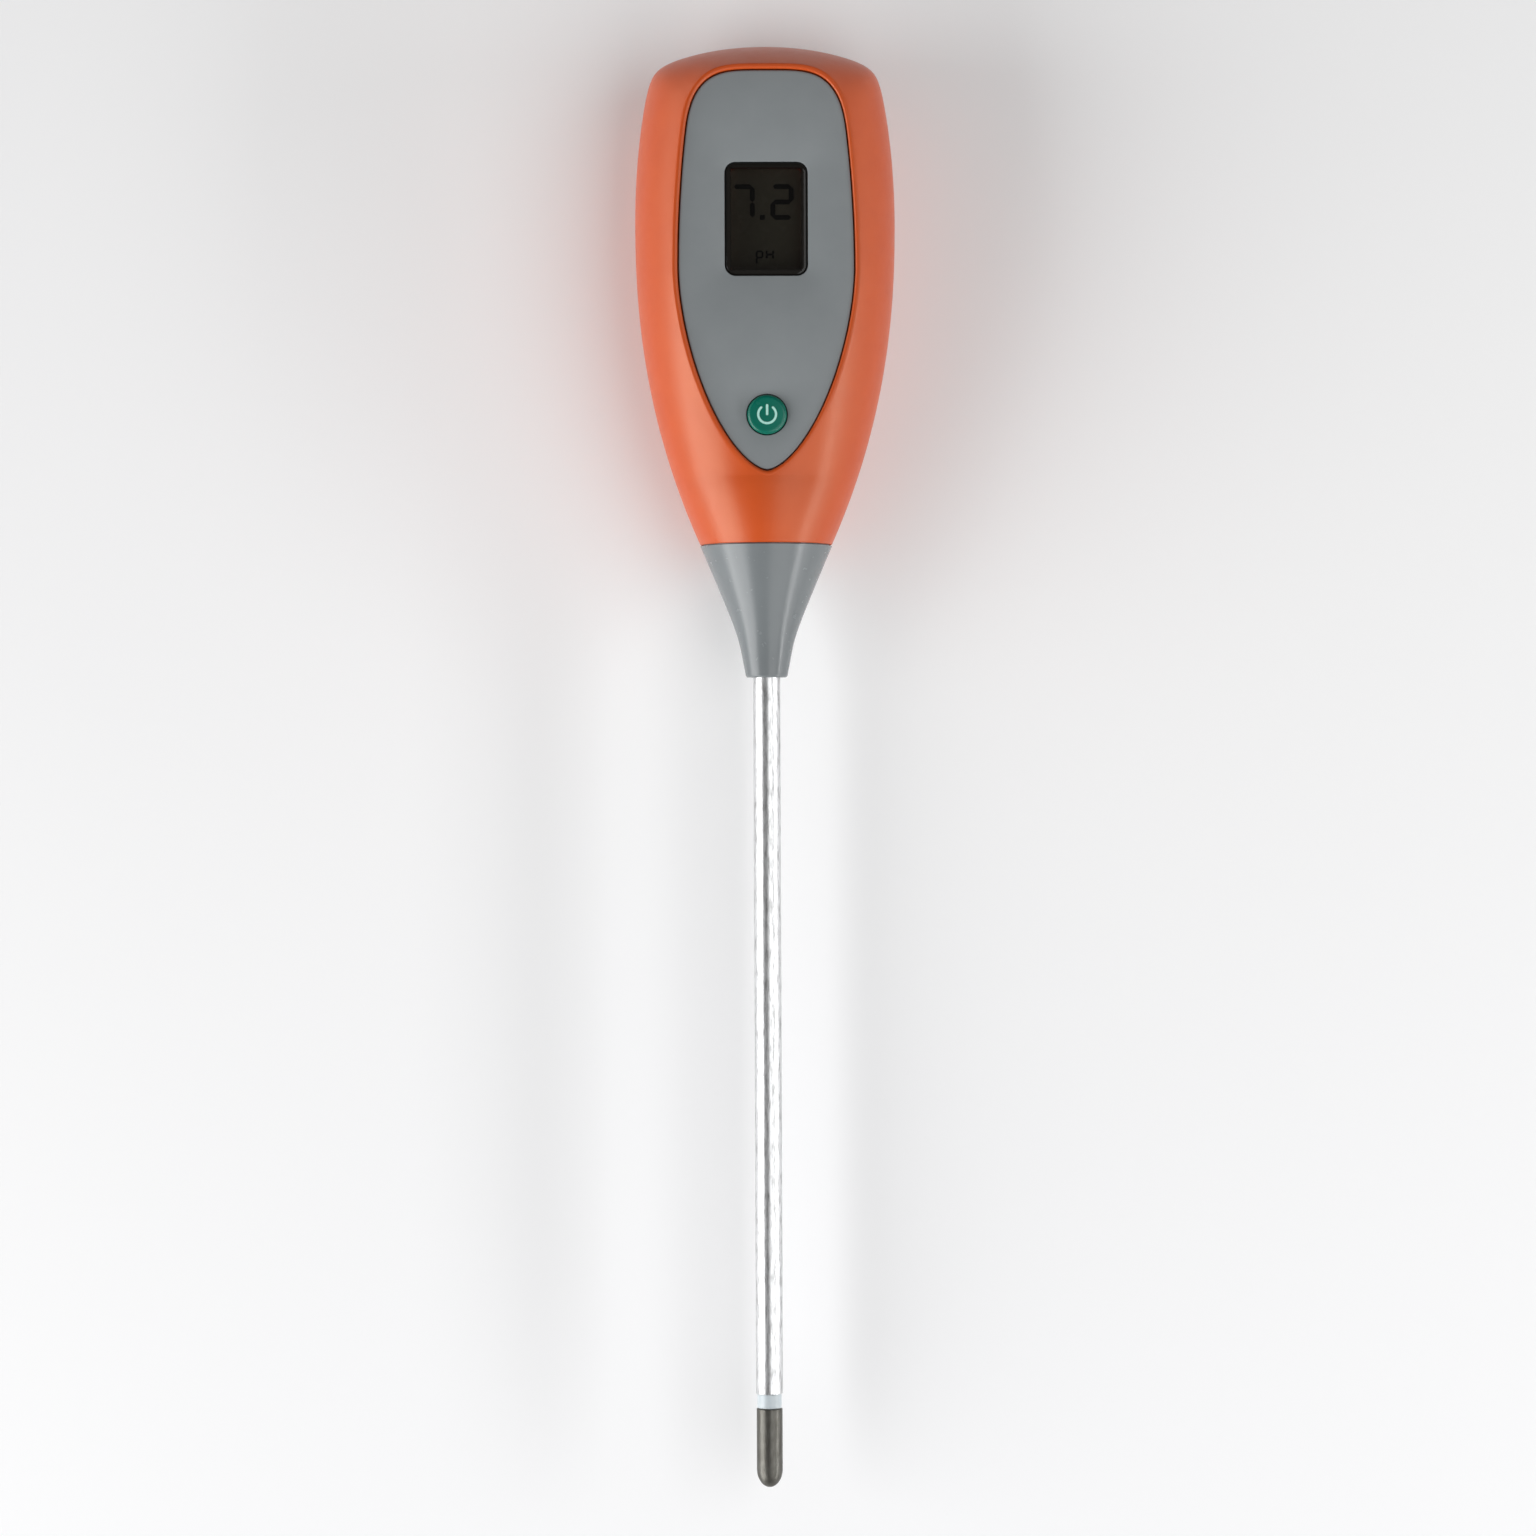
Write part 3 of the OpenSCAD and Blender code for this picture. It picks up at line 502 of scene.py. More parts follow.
def moulded_plastic(name, base, deeper, roughness=0.42, grain_mm=0.22, depth_mm=0.012, spread=0.045,
                    specular=0.5, gloss_tint=(1, 1, 1)):
    """Satin moulded plastic with a fine spark-eroded grain and a faint mottling."""
    look = Look(name, base, roughness, specular=specular)
    look.shader.inputs["Specular Tint"].default_value = (*gloss_tint, 1)
    look.vary_colour(look.ramp(look.noise(6, 3), 0, 1), deeper)
    look.vary_roughness(look.ramp(look.noise(1.5, 3), roughness - spread, roughness + spread))
    if depth_mm:
        look.bump(look.noise(grain_mm, 2), depth_mm)
    return look.material


def plain_metal(name, base, roughness, stretch=(1, 1, 1), size_mm=0.15, depth_mm=0.003):
    """Bare metal with a fine grain or, when stretched, drawn scratches."""
    look = Look(name, base, roughness, metallic=1.0)
    grain = look.noise(size_mm, 3, stretch)
    look.vary_roughness(look.ramp(grain, roughness * 0.7, roughness * 1.4))
    look.bump(grain, depth_mm)
    return look.material


def dark_lens():
    """Smoke-tinted clear plastic that the display shows through, with a black printed border."""
    look = Look("window_tint", colour(6, 5, 4), 0.06, specular=0.3)
    split = look.nodes.new("ShaderNodeSeparateXYZ")
    look.link(look.place, split.inputs["Vector"])
    past_x = look.past(split.outputs["X"], 0, WINDOW_W / 2 * MM)
    past_y = look.past(split.outputs["Y"], WINDOW_Y * MM, WINDOW_H / 2 * MM)
    border = look.ramp(look.calculate("MAXIMUM", past_x, past_y), 0, 1, -0.0013, -0.0009)
    look.vary_colour(border, colour(26, 24, 21))
    look.link(look.ramp(border, 0.52, 0.97, 0, 1), look.shader.inputs["Alpha"])
    look.vary_roughness(look.ramp(look.noise(3, 3), 0.04, 0.09))
    return look.material


def milky_plastic():
    """Pale plastic that light goes a little way into."""
    look = Look("insulator_milky", colour(192, 200, 204), 0.3)
    look.shader.inputs["Subsurface Weight"].default_value = 0.35
    look.shader.inputs["Subsurface Radius"].default_value = (0.0012, 0.0013, 0.0014)
    look.shader.inputs["Subsurface Scale"].default_value = 1.0
    look.vary_colour(look.ramp(look.noise(1.2, 3), 0, 0.5), colour(180, 190, 195))
    return look.material


def drawn_aluminium():
    """Drawn tube, with long fine scratches and scuffed, duller patches."""
    look = Look("probe_aluminium", colour(226, 227, 228), 0.22, metallic=1.0)
    scratches = look.noise(0.09, 4, (1, 90, 1), 0.6)
    scuffs = look.noise(0.5, 4, (1, 6, 1), 0.65)
    look.vary_colour(look.ramp(scuffs, 0, 1, 0.45, 0.72), colour(150, 150, 150))
    look.vary_roughness(look.ramp(scratches, 0.26, 0.42))
    look.bump(scratches, 0.004)
    look.bump(scuffs, 0.003, 0.5)
    return look.material


def dark_electrode():
    """Dark metal with fine marks along the probe."""
    look = Look("sensor_dark_metal", colour(100, 99, 94), 0.36, metallic=0.8)
    look.vary_colour(look.ramp(look.noise(0.7, 4, (1, 3, 1)), 0, 1), colour(81, 79, 74))
    look.vary_roughness(look.ramp(look.noise(0.2, 3, (1, 8, 1)), 0.3, 0.46))
    look.bump(look.noise(0.15, 3, (1, 5, 1)), 0.006)
    return look.material


def striped_elastomer():
    """Zebra strip: dark conductive layers between pale insulating ones."""
    look = Look("zebra_elastomer", colour(190, 175, 180), 0.6)
    wave = look.nodes.new("ShaderNodeTexWave")
    wave.inputs["Scale"].default_value = 1 / MM
    look.link(look.place, wave.inputs["Vector"])
    look.vary_colour(wave.outputs["Fac"], colour(40, 38, 40))
    return look.material


def solder_mask():
    """Green lacquer with the faint pattern of the copper under it."""
    look = Look("board_mask", colour(22, 92, 48), 0.3)
    look.vary_colour(look.ramp(look.noise(1.4, 2), 0, 1, 0.48, 0.52), colour(30, 112, 60))
    look.bump(look.noise(0.4, 2), 0.01)
    return look.material


def wrapped_cell():
    """The cell's sleeve: dark, with a paler metallic band towards the raised terminal."""
    look = Look("cell_sleeve", colour(36, 44, 74), 0.25, metallic=0.3)
    split = look.nodes.new("ShaderNodeSeparateXYZ")
    look.link(look.place, split.inputs["Vector"])
    band_y = (CELL_HIGH.y - 13) * MM
    look.vary_colour(look.ramp(split.outputs["Y"], 0, 1, band_y, band_y + 0.0002), colour(196, 150, 74))
    look.vary_roughness(look.ramp(look.noise(2, 3), 0.2, 0.32))
    return look.material


ORANGE = moulded_plastic("casing_orange", colour(192, 76, 25), colour(188, 72, 22), 0.35, spread=0.02,
                         gloss_tint=(1, 1, 0.8))
GREY = moulded_plastic("slate_grey", colour(129, 134, 136), colour(126, 131, 133), 0.46, 0.18, 0.006)
CONE_GREY = moulded_plastic("cone_grey", colour(112, 117, 119), colour(110, 115, 117), 0.27, depth_mm=0,
                            spread=0.004)
GREEN = moulded_plastic("button_green", colour(2, 106, 88), colour(1, 99, 82), 0.26, 0.25, 0.003, 0.02, 0.35)
MINT = moulded_plastic("mint_ink", colour(176, 226, 214), colour(166, 218, 206), 0.5, 0.1, 0.002)
BLACK = moulded_plastic("black_plastic", colour(32, 32, 33), colour(26, 26, 27), 0.45)
WHITE = moulded_plastic("white_plastic", colour(225, 224, 218), colour(215, 214, 208), 0.45)
RED = moulded_plastic("red_insulation", colour(190, 28, 24), colour(170, 22, 20), 0.4, 0.3, 0.004)
RUBBER = moulded_plastic("seal_rubber", colour(28, 28, 28), colour(20, 20, 20), 0.7, 0.15, 0.01)
TAN = moulded_plastic("chip_ceramic", colour(176, 150, 112), colour(150, 126, 94), 0.5, 0.3, 0.004)
FILM = moulded_plastic("adhesive_film", colour(226, 222, 205), colour(216, 210, 190), 0.6, 0.3, 0.004)
INK = moulded_plastic("display_ink", colour(7, 6, 5), colour(9, 8, 7), 0.5, 0.3, 0.0005)
PANEL = moulded_plastic("display_glass", colour(160, 153, 131), colour(156, 149, 127), 0.25, 2, 0.0005)
STEEL = plain_metal("zinc_steel", colour(196, 197, 200), 0.3)
SPRING_STEEL = plain_metal("spring_steel", colour(206, 206, 206), 0.2)
BRASS = plain_metal("turned_brass", colour(206, 170, 96), 0.25)
LENS = dark_lens()
MILKY = milky_plastic()
ALUMINIUM = drawn_aluminium()
ELECTRODE = dark_electrode()
ZEBRA = striped_elastomer()
BOARD = solder_mask()
SLEEVE = wrapped_cell()


def paint(piece, material):
    """Gives a piece one material."""
    piece.data.materials.clear()
    piece.data.materials.append(material)
    return piece


# ---- The casing ----

EDGE_GROOVE = 0.14
SKIN_ROWS = 28


def neck_cutter():
    """The hole that the nose cone's neck goes through."""
    outline = [(NECK_R, SEAM_Y - 1), (NECK_R, SEAM_Y + END_WALL + 1)]
    return cutter(lambda bm: lathe(bm, outline, 96, "y", (0, PART_Z)))


def hollow_cutter(stations, sign):
    """The inside of a shell."""
    return new_piece("cutter", half_body(stations, 10, 0.3, sign, skirt=1.0), None)


def peg_cutters(r, low_z, high_z):
    """An upright peg at each case screw."""
    rings = [circle(r, 0, x, y) for x, y in SCREW_SPOTS]
    return [cutter(lambda bm, ring=ring: prism(bm, ring, low_z, high_z)) for ring in rings]


def make_front_shell():
    """The upper half, with the pocket, the display's opening and the button's hole."""
    lip = ((0.5, 0), (0.35, 0.02), (0.2, 0.08), (0.09, 0.17), (0.02, 0.31), (0, 0.5), (0, RIM_Z - POCKET_Z))
    lip_rings = [pocket_ring(grow, RIM_Z - drop) for grow, drop in lip]
    bm = half_body(front_stations(), SKIN_ROWS, 0.09, 1, lip_rings, groove=EDGE_GROOVE)
    shell = new_piece("front_casing_shell", bm, "casing", ["front_shell"])
    hollow = hollow_cutter(front_stations(WALL, 1.5, SEAM_Y + END_WALL, ROOF_Z - PART_Z, HOLLOW_SEAM_R), 1)
    aperture_w, aperture_h = WINDOW_W - 2 * LENS_LEDGE, WINDOW_H - 2 * LENS_LEDGE
    aperture = rounded_rectangle(aperture_w, aperture_h, WINDOW_R - LENS_LEDGE / 2, 0, WINDOW_Y)
    holes = [
        cutter(lambda bm: prism(bm, aperture, ROOF_Z - 1, RIM_Z)),
        cutter(lambda bm: prism(bm, circle(BUTTON_HOLE_R, 0, 0, BUTTON_Y), ROOF_Z - 1, RIM_Z)),
    ]
    boolean(shell, [hollow, *holes, neck_cutter()])
    paint(shell, ORANGE)


def make_rear_shell():
    """The lower half, with the cell's chamber, the door's slot and the screws' holes."""
    shell = new_piece("rear_casing_shell", half_body(rear_stations(), SKIN_ROWS, 0.5, -1, groove=EDGE_GROOVE),
                      "casing", ["rear_shell"])
    hollow = hollow_cutter(rear_stations(WALL, 1.2, SEAM_Y + END_WALL, PART_Z - WALL, HOLLOW_SEAM_R), -1)
    chamber_low, chamber_high = SPRING_LOW.y - 0.44, CELL_HIGH.y + 1.4
    wall_low, wall_high = chamber_low - CHAMBER_WALL, chamber_high + CHAMBER_WALL
    wall_x = CHAMBER_HALF_W + CHAMBER_WALL
    blocks = [
        cutter(lambda bm: box(bm, (-wall_x, wall_low, 0), (wall_x, wall_high, CHAMBER_TOP_Z + CHAMBER_WALL))),
        cutter(lambda bm: box(bm, (-RAIL_HALF_W, wall_low, 0), (RAIL_HALF_W, CROWN_Y, RAIL_TOP_Z))),
        *peg_cutters(SCREW_POST_R, 0, PART_Z + 0.5),
    ]
    boolean(hollow, blocks)
    slot_y, slot_top_z = DOOR_LOW.y - DOOR_GAP, WALL + 0.05
    slot_x, groove_x = DOOR_HIGH.x - TONGUE_W + DOOR_GAP, DOOR_HIGH.x + DOOR_GAP
    cuts = [
        hollow,
        cutter(lambda bm: box(bm, (-CHAMBER_HALF_W, chamber_low, -1),
                              (CHAMBER_HALF_W, chamber_high, CHAMBER_TOP_Z))),
        cutter(lambda bm: box(bm, (-slot_x, slot_y, -1), (slot_x, CROWN_Y + 1, slot_top_z))),
        cutter(lambda bm: box(bm, (-groove_x, slot_y, TONGUE_Z - 0.05), (groove_x, CROWN_Y + 1, slot_top_z))),
        neck_cutter(),
        *peg_cutters(COUNTERBORE_R, -1, SCREW_SEAT_Z),
        *peg_cutters(SCREW_HOLE_R, 0, PART_Z + 1),
    ]
    boolean(shell, cuts)
    paint(shell, ORANGE)


def make_battery_door():
    """A piece of the casing's back with tongues along its sides and four finger grooves."""
    body = half_body(rear_stations(), SKIN_ROWS, 0.5, -1)
    bmesh.ops.translate(body, verts=body.verts, vec=(0, 0, DOOR_LOW.z))
    door = new_piece("sliding_battery_door", body, "door", ["battery_door"])
    middle_y = (DOOR_LOW.y + DOOR_HIGH.y) / 2
    width = DOOR_HIGH.x - DOOR_LOW.x - 2 * TONGUE_W
    length = DOOR_HIGH.y - DOOR_LOW.y
    panel = cutter(lambda bm: prism(bm, rounded_rectangle(width, length, 0.5, 0, middle_y), -1, DOOR_HIGH.z))
    boolean(door, [panel], "INTERSECT")
    tongue_corner = (DOOR_HIGH.x, CROWN_Y - 13, DOOR_HIGH.z)
    tongues = cutter(lambda bm: box(bm, (DOOR_LOW.x, DOOR_LOW.y, TONGUE_Z), tongue_corner))
    boolean(door, [tongues], "UNION")
    grip_places = [DOOR_LOW.y + 6.5 + i * 2.4 for i in range(4)]
    grips = [cutter(lambda bm, y=y: prism(bm, rounded_rectangle(10, 1, 0.49, 0, y), -1, DOOR_LOW.z + 0.5))
             for y in grip_places]
    boolean(door, grips)
    paint(door, ORANGE)


# ---- The face plate, the window and the button ----

def window_outline(grow, z):
    """The window's outline moved out by grow."""
    return rounded_rectangle(WINDOW_W + 2 * grow, WINDOW_H + 2 * grow, WINDOW_R + grow, z, WINDOW_Y)


def make_face_plate():
    """The grey inlay, with openings for the window and the button."""
    top, low = PLATE_HIGH.z, PLATE_LOW.z
    gap = 0.25
    outer_edge = ((0.42, 0), (0.2, 0.03), (0.06, 0.11), (0, 0.3), (0, top - low))
    hole_edge = ((0.16, 0), (0.06, 0.03), (0, 0.12), (0, top - low))
    bm = bmesh.new()
    outside = add_rings(bm, [pocket_ring(-gap - inset, top - drop) for inset, drop in outer_edge])
    window = add_rings(bm, [window_outline(grow, top - drop) for grow, drop in hole_edge])
    hole = add_rings(bm, [circle(BUTTON_HOLE_R + grow, top - drop, 0, BUTTON_Y) for grow, drop in hole_edge])
    fill(bm, outside[0], window[0], hole[0])
    fill(bm, outside[-1], window[-1], hole[-1])
    paint(new_piece("grey_face_plate", bm, "casing", ["face_plate"]), GREY)


def make_window_lens():
    """The display's window, with softly rounded edges."""
    top, low = LENS_HIGH.z, LENS_LOW.z
    gap = 0.05
    edge = ((0.7, 0), (0.5, 0.03), (0.32, 0.1), (0.17, 0.2), (0.06, 0.34), (0, 0.5), (0, top - low))
    bm = bmesh.new()
    rings = add_rings(bm, [window_outline(-gap - inset, top - drop) for inset, drop in edge])
    fill(bm, rings[0])
    fill(bm, rings[-1])
    paint(new_piece("display_window_lens", bm, "casing", ["window_lens"]), LENS)


def make_power_button():
    """A slightly domed cap on a flange and a stem."""
    top = BUTTON_HIGH.z - 0.02
    flange_r, flange_top, flange_low = BUTTON_HIGH.x, ROOF_Z, ROOF_Z - BUTTON_FLANGE_T
    edge_r, dome_drop = 0.75, 0.1
    dome_r = BUTTON_R - edge_r
    outline = [
        *[(r, top - dome_drop * (r / dome_r) ** 2) for r in (0, 0.7, 1.4, 2.1, dome_r)],
        *arc((dome_r, top - dome_drop - edge_r), edge_r, 86, 4, 8),
        (BUTTON_R, flange_top), (flange_r, flange_top), (flange_r, flange_low), (BUTTON_STEM_R, flange_low),
        (BUTTON_STEM_R, BUTTON_LOW.z), (0, BUTTON_LOW.z),
    ]
    bm = bmesh.new()
    lathe(bm, outline, 96, "z", (0, BUTTON_Y))
    paint(new_piece("green_power_button", bm, "button", ["power_button"]), GREEN)


def make_power_symbol():
    """A broken ring and a bar, with round ends, printed on the button."""
    low_z, high_z = BUTTON_HIGH.z - 0.25, BUTTON_HIGH.z
    arc_r, half_stroke, gap_angle = 1.62, 0.21, 41
    bar_w, bar_len, bar_y = 0.44, 2.03, 0.83
    start, end = math.radians(90 + gap_angle), math.radians(450 - gap_angle)
    turn = np.linspace(start, end, 61)

    def around(r, angles, x=0.0, y=0.0):
        return [(x + r * math.cos(a), y + r * math.sin(a)) for a in angles]

    def cap(angle, first):
        centre = around(arc_r, [angle])[0]
        return around(half_stroke, first + np.linspace(0, math.pi, 9)[1:-1], *centre)

    outer, inner = around(arc_r + half_stroke, turn), around(arc_r - half_stroke, turn[::-1])
    broken_ring = outer + cap(end, end) + inner + cap(start, start + math.pi)
    bar = [(x, y) for x, y, _ in rounded_rectangle(bar_w, bar_len, half_stroke, 0, bar_y)]
    bm = bmesh.new()
    for shape in (broken_ring, bar):
        prism(bm, [(x, y + BUTTON_Y, 0) for x, y in shape], low_z, high_z)
    paint(new_piece("printed_power_symbol", bm, "button", ["power_symbol"]), MINT)


# ---- The nose cone and the probe ----

def curve(points, steps):
    """Points of the cubic curve through four control points."""
    a, b, c, d = np.array(points, float)
    t = np.linspace(0, 1, steps + 1)[:, None]
    return [tuple(q) for q in (1 - t) ** 3 * a + 3 * t * (1 - t) ** 2 * b + 3 * t**2 * (1 - t) * c + t**3 * d]


def turned_piece(name, outline, node, material):
    """A piece of the nose or the probe, turned around the probe's axis."""
    bm = bmesh.new()
    lathe(bm, outline, 128, "y", (0, PART_Z))
    paint(new_piece(name, bm, "casing", [node]), material)


def make_nose_cone():
    """The flared cone, its neck through the casing and the flange behind the end wall."""
    end_y, end_r, edge_r = NOSE_LOW.y, 3.9, 0.5
    flare_y, groove_y, groove_r = SEAM_Y - 0.26, SEAM_Y - 0.16, SEAM_R - 0.5
    flare = curve([(SEAM_R, flare_y), (4.4, end_y + 5.9), (5.5, end_y + 8.5), (end_r, end_y + edge_r)], 56)
    neck_r, neck_y, flange_r = 7.5, SEAM_Y + END_WALL + 0.1, 9.2
    cavity_y, cavity_r, bore_r = SEAM_Y - 9.2, 5.6, TUBE_END_R + 0.03
    outline = [
        (cavity_r, cavity_y), (cavity_r, NOSE_HIGH.y), (flange_r, NOSE_HIGH.y), (flange_r, neck_y),
        (neck_r, neck_y), (neck_r, SEAM_Y), (groove_r, SEAM_Y), (groove_r, groove_y),
        (SEAM_R - 0.12, groove_y), *flare,
        *arc((end_r - edge_r, end_y + edge_r), edge_r, 0, -90, 8),
        (bore_r + 0.1, end_y), (bore_r, end_y + 0.1), (bore_r, cavity_y), (cavity_r, cavity_y),
    ]
    turned_piece("grey_nose_cone", outline, "nose_cone", CONE_GREY)


def make_probe_tube():
    """The long tube, with a narrower end inside the nose cone."""
    r, bore, low, high, shoulder = TUBE_HIGH.x, 2.0, TUBE_LOW.y, TUBE_HIGH.y, NOSE_LOW.y
    bevel, shoulder_bevel = 0.12, 0.02
    lengths = np.linspace(low + bevel, shoulder - shoulder_bevel, 25)
    outline = [
        (bore, low), (r - bevel, low), *[(r, y) for y in lengths], (r - shoulder_bevel, shoulder),
        (TUBE_END_R, shoulder), (TUBE_END_R, high), (bore, high), (bore, low),
    ]
    turned_piece("aluminium_probe_tube", outline, "probe_tube", ALUMINIUM)


def make_insulator_ring():
    """The pale ring between the tube and the tip."""
    r, low, high = RING_HIGH.x, RING_LOW.y, TUBE_LOW.y
    outline = [(1, low), (r - 0.08, low), (r, low + 0.1), (r, high - 0.1), (r - 0.08, high), (2, high),
               (2, RING_HIGH.y), (1, RING_HIGH.y), (1, low)]
    turned_piece("milky_insulator_ring", outline, "insulator_ring", MILKY)


def make_sensor_tip():
    """The rounded tip, with a thin core that runs up into the tube."""
    r, low, high = TIP_HIGH.x, TIP_LOW.y, RING_LOW.y
    nose = 3.4
    outline = [(0, TIP_HIGH.y), (1, TIP_HIGH.y), (1, high), *arc((r - 0.3, high - 0.3), 0.3, 90, 0, 5)]
    outline += [(r, y) for y in np.linspace(high - 1, low + nose + 0.2, 6)]
    outline += [(r * math.cos(a), low + nose * (1 - math.sin(a))) for a in np.linspace(0, math.pi / 2, 17)]
    turned_piece("dark_sensor_tip", outline, "sensor_tip", ELECTRODE)


# ---- Screws and the battery compartment's parts ----

def make_case_screws():
    """Pan heads with a cross recess, on plain shanks."""
    bm = bmesh.new()
    low_z, end_z, dome_r = SCREW_SEAT_Z - 1.8, ROOF_Z - 2, 1.8
    for spot in SCREW_SPOTS:
        outline = [
            *[(r, low_z + 0.35 * (r / dome_r) ** 2) for r in (0, dome_r / 3, dome_r * 2 / 3, dome_r)],
            *arc((dome_r, low_z + 0.85), SCREW_HEAD_R - dome_r, -80, 0, 5),
            (SCREW_HEAD_R, SCREW_SEAT_Z), (SCREW_SHANK_R, SCREW_SEAT_Z), (SCREW_SHANK_R, end_z), (0, end_z),
        ]
        lathe(bm, outline, 48, "z", spot)
    screws = new_piece("pan_head_case_screws", bm, "casing", ["case_screws"])
    slots = [((x - half_x, y - half_y, low_z - 1), (x + half_x, y + half_y, low_z + 0.9))
             for x, y in SCREW_SPOTS for half_x, half_y in ((1.3, 0.27), (0.27, 1.3))]
    boolean(screws, [cutter(lambda bm, low=low, high=high: box(bm, low, high)) for low, high in slots])
    paint(screws, STEEL)


def make_battery_cell():
    """A wrapped cell with crimped ends."""
    r = (CELL_HIGH.x - CELL_LOW.x) / 2
    low, high = CELL_LOW.y, CELL_HIGH.y
    centre_z = (CELL_LOW.z + CELL_HIGH.z) / 2
    bm = bmesh.new()
    outline = [
        (0, low), (r - 1.1, low), (r - 0.9, low + 0.15), *arc((r - 0.4, low + 0.4), 0.4, -90, 0, 4),
        *arc((r - 0.5, high - 0.5), 0.5, 0, 90, 5), (r - 1.2, high), (r - 1.4, high - 0.2), (2.3, high - 0.2),
        (1.9, high), (0, high),
    ]
    lathe(bm, outline, 96, "y", (0, centre_z))
    paint(new_piece("sleeved_battery_cell", bm, "casing", ["battery_cell"]), SLEEVE)


def make_battery_spring():
    """A tapering coil of round wire."""
    turns, steps, sides, wire_r = 5, 40, 12, 0.32
    centre_z = (CELL_LOW.z + CELL_HIGH.z) / 2
    low, high = SPRING_LOW.y + wire_r, SPRING_HIGH.y - wire_r
    last = turns * steps
    rings = []
    for i in range(last + 1):
        a, r = i * 2 * math.pi / steps, 3.6 - 1.1 * i / last
        y = low + (high - low) * i / last
        around = [j * 2 * math.pi / sides for j in range(sides)]
        rings.append([((r + wire_r * math.cos(b)) * math.cos(a), y + wire_r * math.sin(b),
                       centre_z + (r + wire_r * math.cos(b)) * math.sin(a)) for b in around])
    bm = bmesh.new()
    made = add_rings(bm, rings)
    bm.faces.new(made[0])
    bm.faces.new(made[-1])
    paint(new_piece("coil_battery_spring", bm, "casing", ["battery_spring"]), SPRING_STEEL)


# ---- CAD nodes that keep their own shape ----

KEPT_NODES = {
    "plate_adhesive": FILM, "tube_seal": RUBBER, "probe_collar": BRASS, "collar_nut": STEEL,
    "tip_lead": WHITE, "tube_lead": BLACK, "lcd_panel": PANEL, "lcd_segments": INK, "lcd_holder": WHITE,
    "zebra_strips": ZEBRA, "circuit_board": BOARD, "controller_chip": BLACK, "smd_parts": TAN,
    "timing_crystal": STEEL, "switch_body": BLACK, "switch_plunger": WHITE, "board_screws": STEEL,
    "battery_cap": STEEL, "negative_plate": STEEL, "positive_plate": STEEL, "battery_lead_red": RED,
    "battery_lead_black": BLACK,
}


# ---- Floor, light and camera ----

FLOOR_R = 750
AIM = (0, -0.05, 0.02)


def make_floor():
    """A pale round floor that the camera sees no edge of."""
    look = Look("floor_paper", colour(247, 247, 247), 0.75, specular=0.2)
    look.vary_colour(look.ramp(look.noise(400, 2), 0, 1), colour(245, 245, 246))
    bm = bmesh.new()
    bm.faces.new([bm.verts.new(point) for point in circle(FLOOR_R, -0.01)])
    floor = new_piece("studio_floor", bm, None)
    paint(floor, look.material)


def area_light(name, place, size, power):
    """A soft rectangular light that shines on AIM. Places are in metres, and size is (across, along Y)."""
    data = bpy.data.lights.new(name, "AREA")
    data.shape = "RECTANGLE"
    data.size, data.size_y = size
    data.energy = power
    lamp = bpy.data.objects.new(name, data)
    bpy.context.scene.collection.objects.link(lamp)
    back = np.subtract(place, AIM) / np.linalg.norm(np.subtract(place, AIM))
    across = np.cross((0, 1, 0), back)
    across /= np.linalg.norm(across)
    up = np.cross(back, across)
    lamp.matrix_world = Matrix([[across[i], up[i], back[i], place[i]] for i in range(3)] + [[0, 0, 0, 1]])


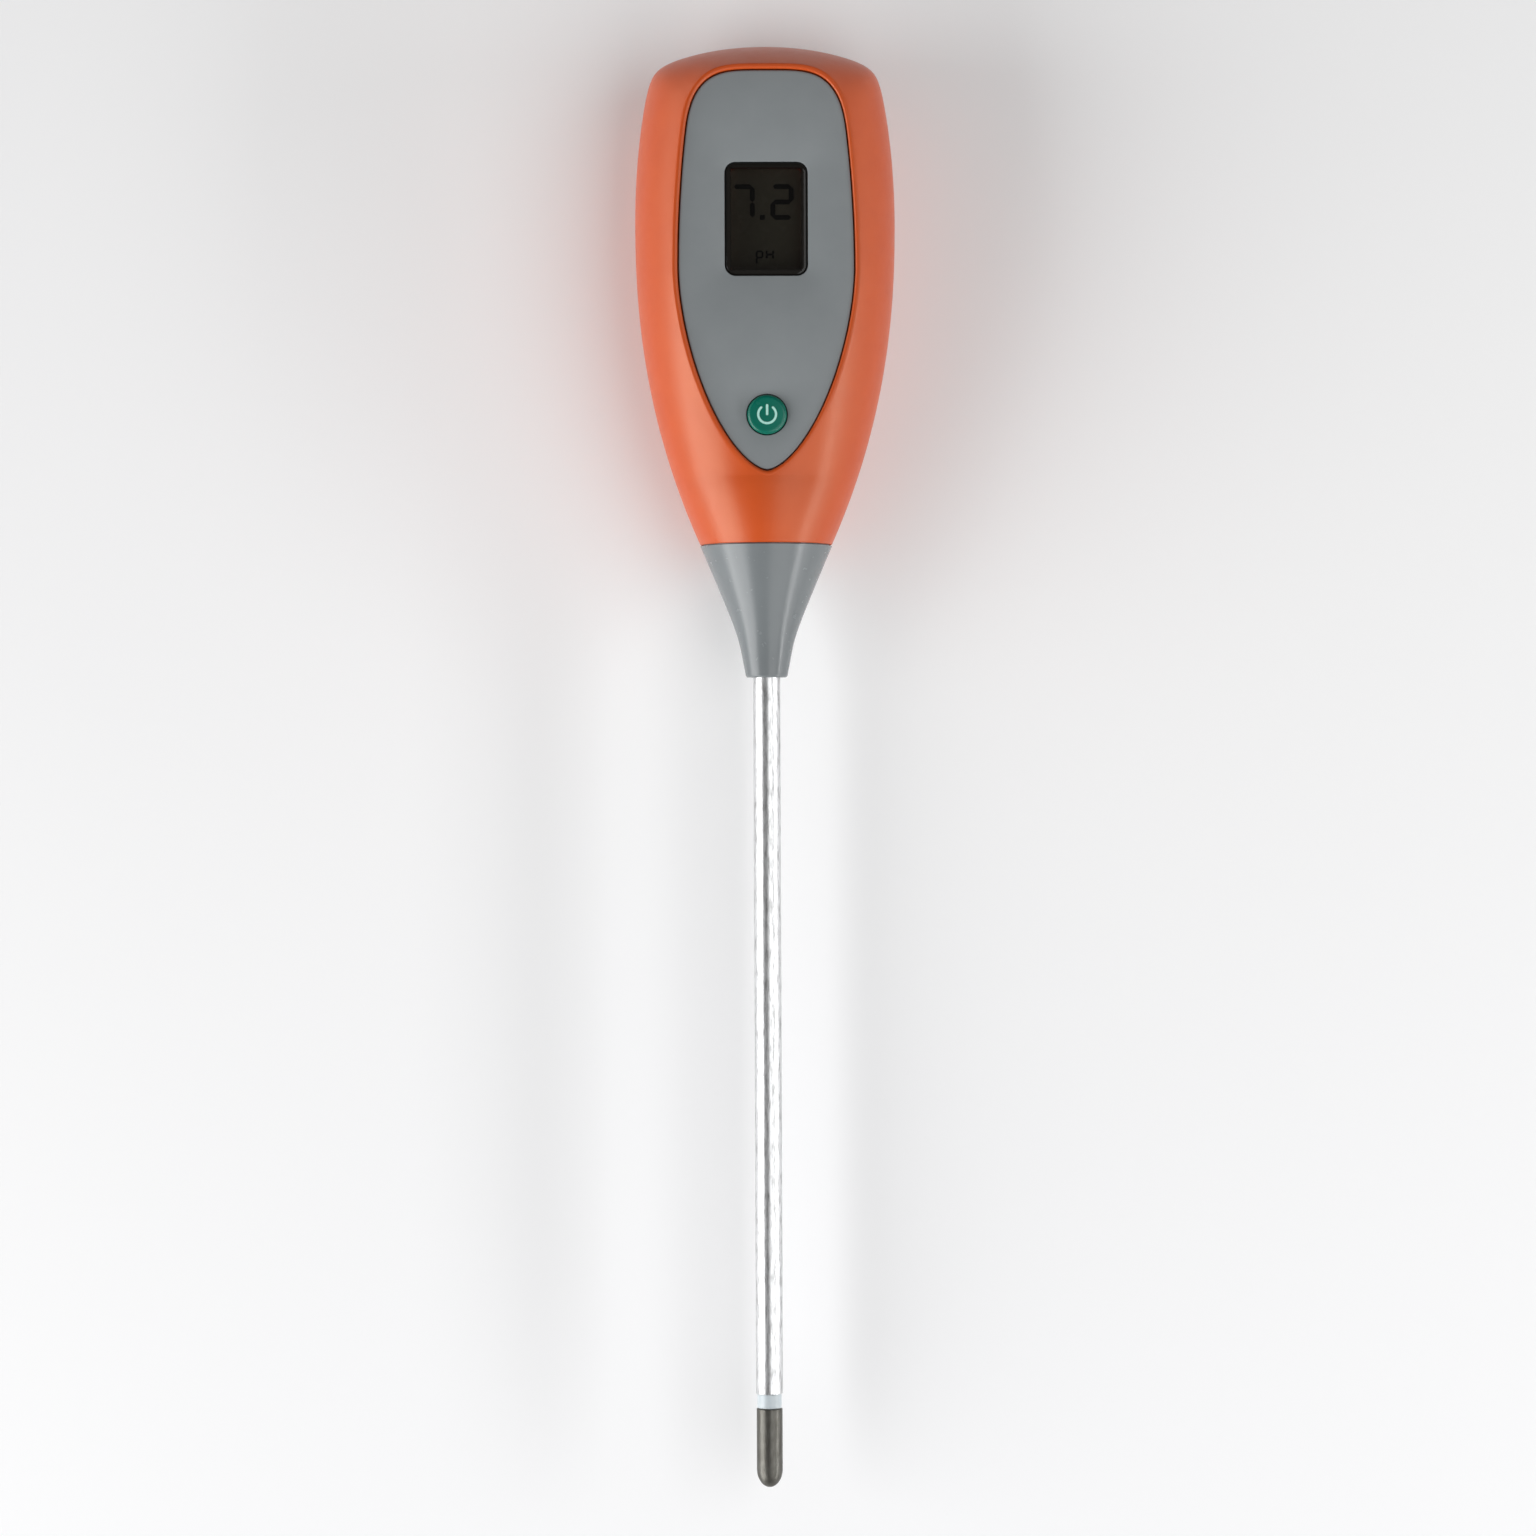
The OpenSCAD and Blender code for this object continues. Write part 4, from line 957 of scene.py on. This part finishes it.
def make_lights():
    """Three soft lights, and a dim sky that glows near the horizon on the left and the right."""
    area_light("left_softbox", (-0.80, -0.35, 0.36), (0.66, 1.1), 10.0)
    area_light("right_strip", (0.84, -0.35, 0.30), (0.12, 1.1), 4.2)
    area_light("right_panel", (0.40, -0.2, 0.69), (0.6, 1.2), 3.7)
    world = bpy.data.worlds.new("studio")
    bpy.context.scene.world = world
    world.use_nodes = True
    nodes, links = world.node_tree.nodes, world.node_tree.links
    split = nodes.new("ShaderNodeSeparateXYZ")
    links.new(nodes.new("ShaderNodeTexCoord").outputs["Generated"], split.inputs["Vector"])

    def fade(axis, start, end, low, high):
        """Low to high as the view's direction along an axis goes from start to end."""
        node = nodes.new("ShaderNodeMapRange")
        for socket, value in (("From Min", start), ("From Max", end), ("To Min", low), ("To Max", high)):
            node.inputs[socket].default_value = value
        links.new(split.outputs[axis], node.inputs["Value"])
        return node.outputs["Result"]

    def combine(operation, first, second):
        node = nodes.new("ShaderNodeMath")
        node.operation = operation
        links.new(first, node.inputs[0])
        links.new(second, node.inputs[1])
        return node.outputs["Value"]

    horizon = combine("MULTIPLY", fade("Z", 0.02, 0.16, 0.95, 0.2), fade("Y", 0.0, 0.6, 1, 0.2))
    sides = combine("ADD", fade("X", -0.85, -0.45, 3, 0), fade("X", 0.45, 0.85, 0, 1.2))
    glow = combine("MULTIPLY", sides, fade("Z", 0.05, 0.2, 1, 0))
    links.new(combine("ADD", horizon, glow), nodes["Background"].inputs["Strength"])
    nodes["Background"].inputs["Color"].default_value = (1, 1, 1, 1)


def make_camera():
    """A long lens over the display, a little to the left and turned by a fraction of a degree."""
    distance, view_width, left = 0.88, 0.2844, 0.015
    aim_x, roll = 0.00017, -0.228
    sensor = 36
    data = bpy.data.cameras.new("camera")
    data.sensor_width = sensor
    data.lens = sensor * distance / view_width
    camera = bpy.data.objects.new("camera", data)
    bpy.context.scene.collection.objects.link(camera)
    camera.location = (aim_x - left, 0, PART_Z * MM + distance)
    camera.rotation_euler = (0, -math.atan(left / distance), math.radians(roll))
    bpy.context.scene.camera = camera


make_camera()
make_lights()
make_floor()
make_front_shell()
make_rear_shell()
make_battery_door()
make_face_plate()
make_window_lens()
make_power_button()
make_power_symbol()
make_nose_cone()
make_probe_tube()
make_insulator_ring()
make_sensor_tip()
make_case_screws()
make_battery_cell()
make_battery_spring()
for node_name, node_material in KEPT_NODES.items():
    paint(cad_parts[node_name], node_material)
bpy.context.scene.view_settings.view_transform = "Standard"
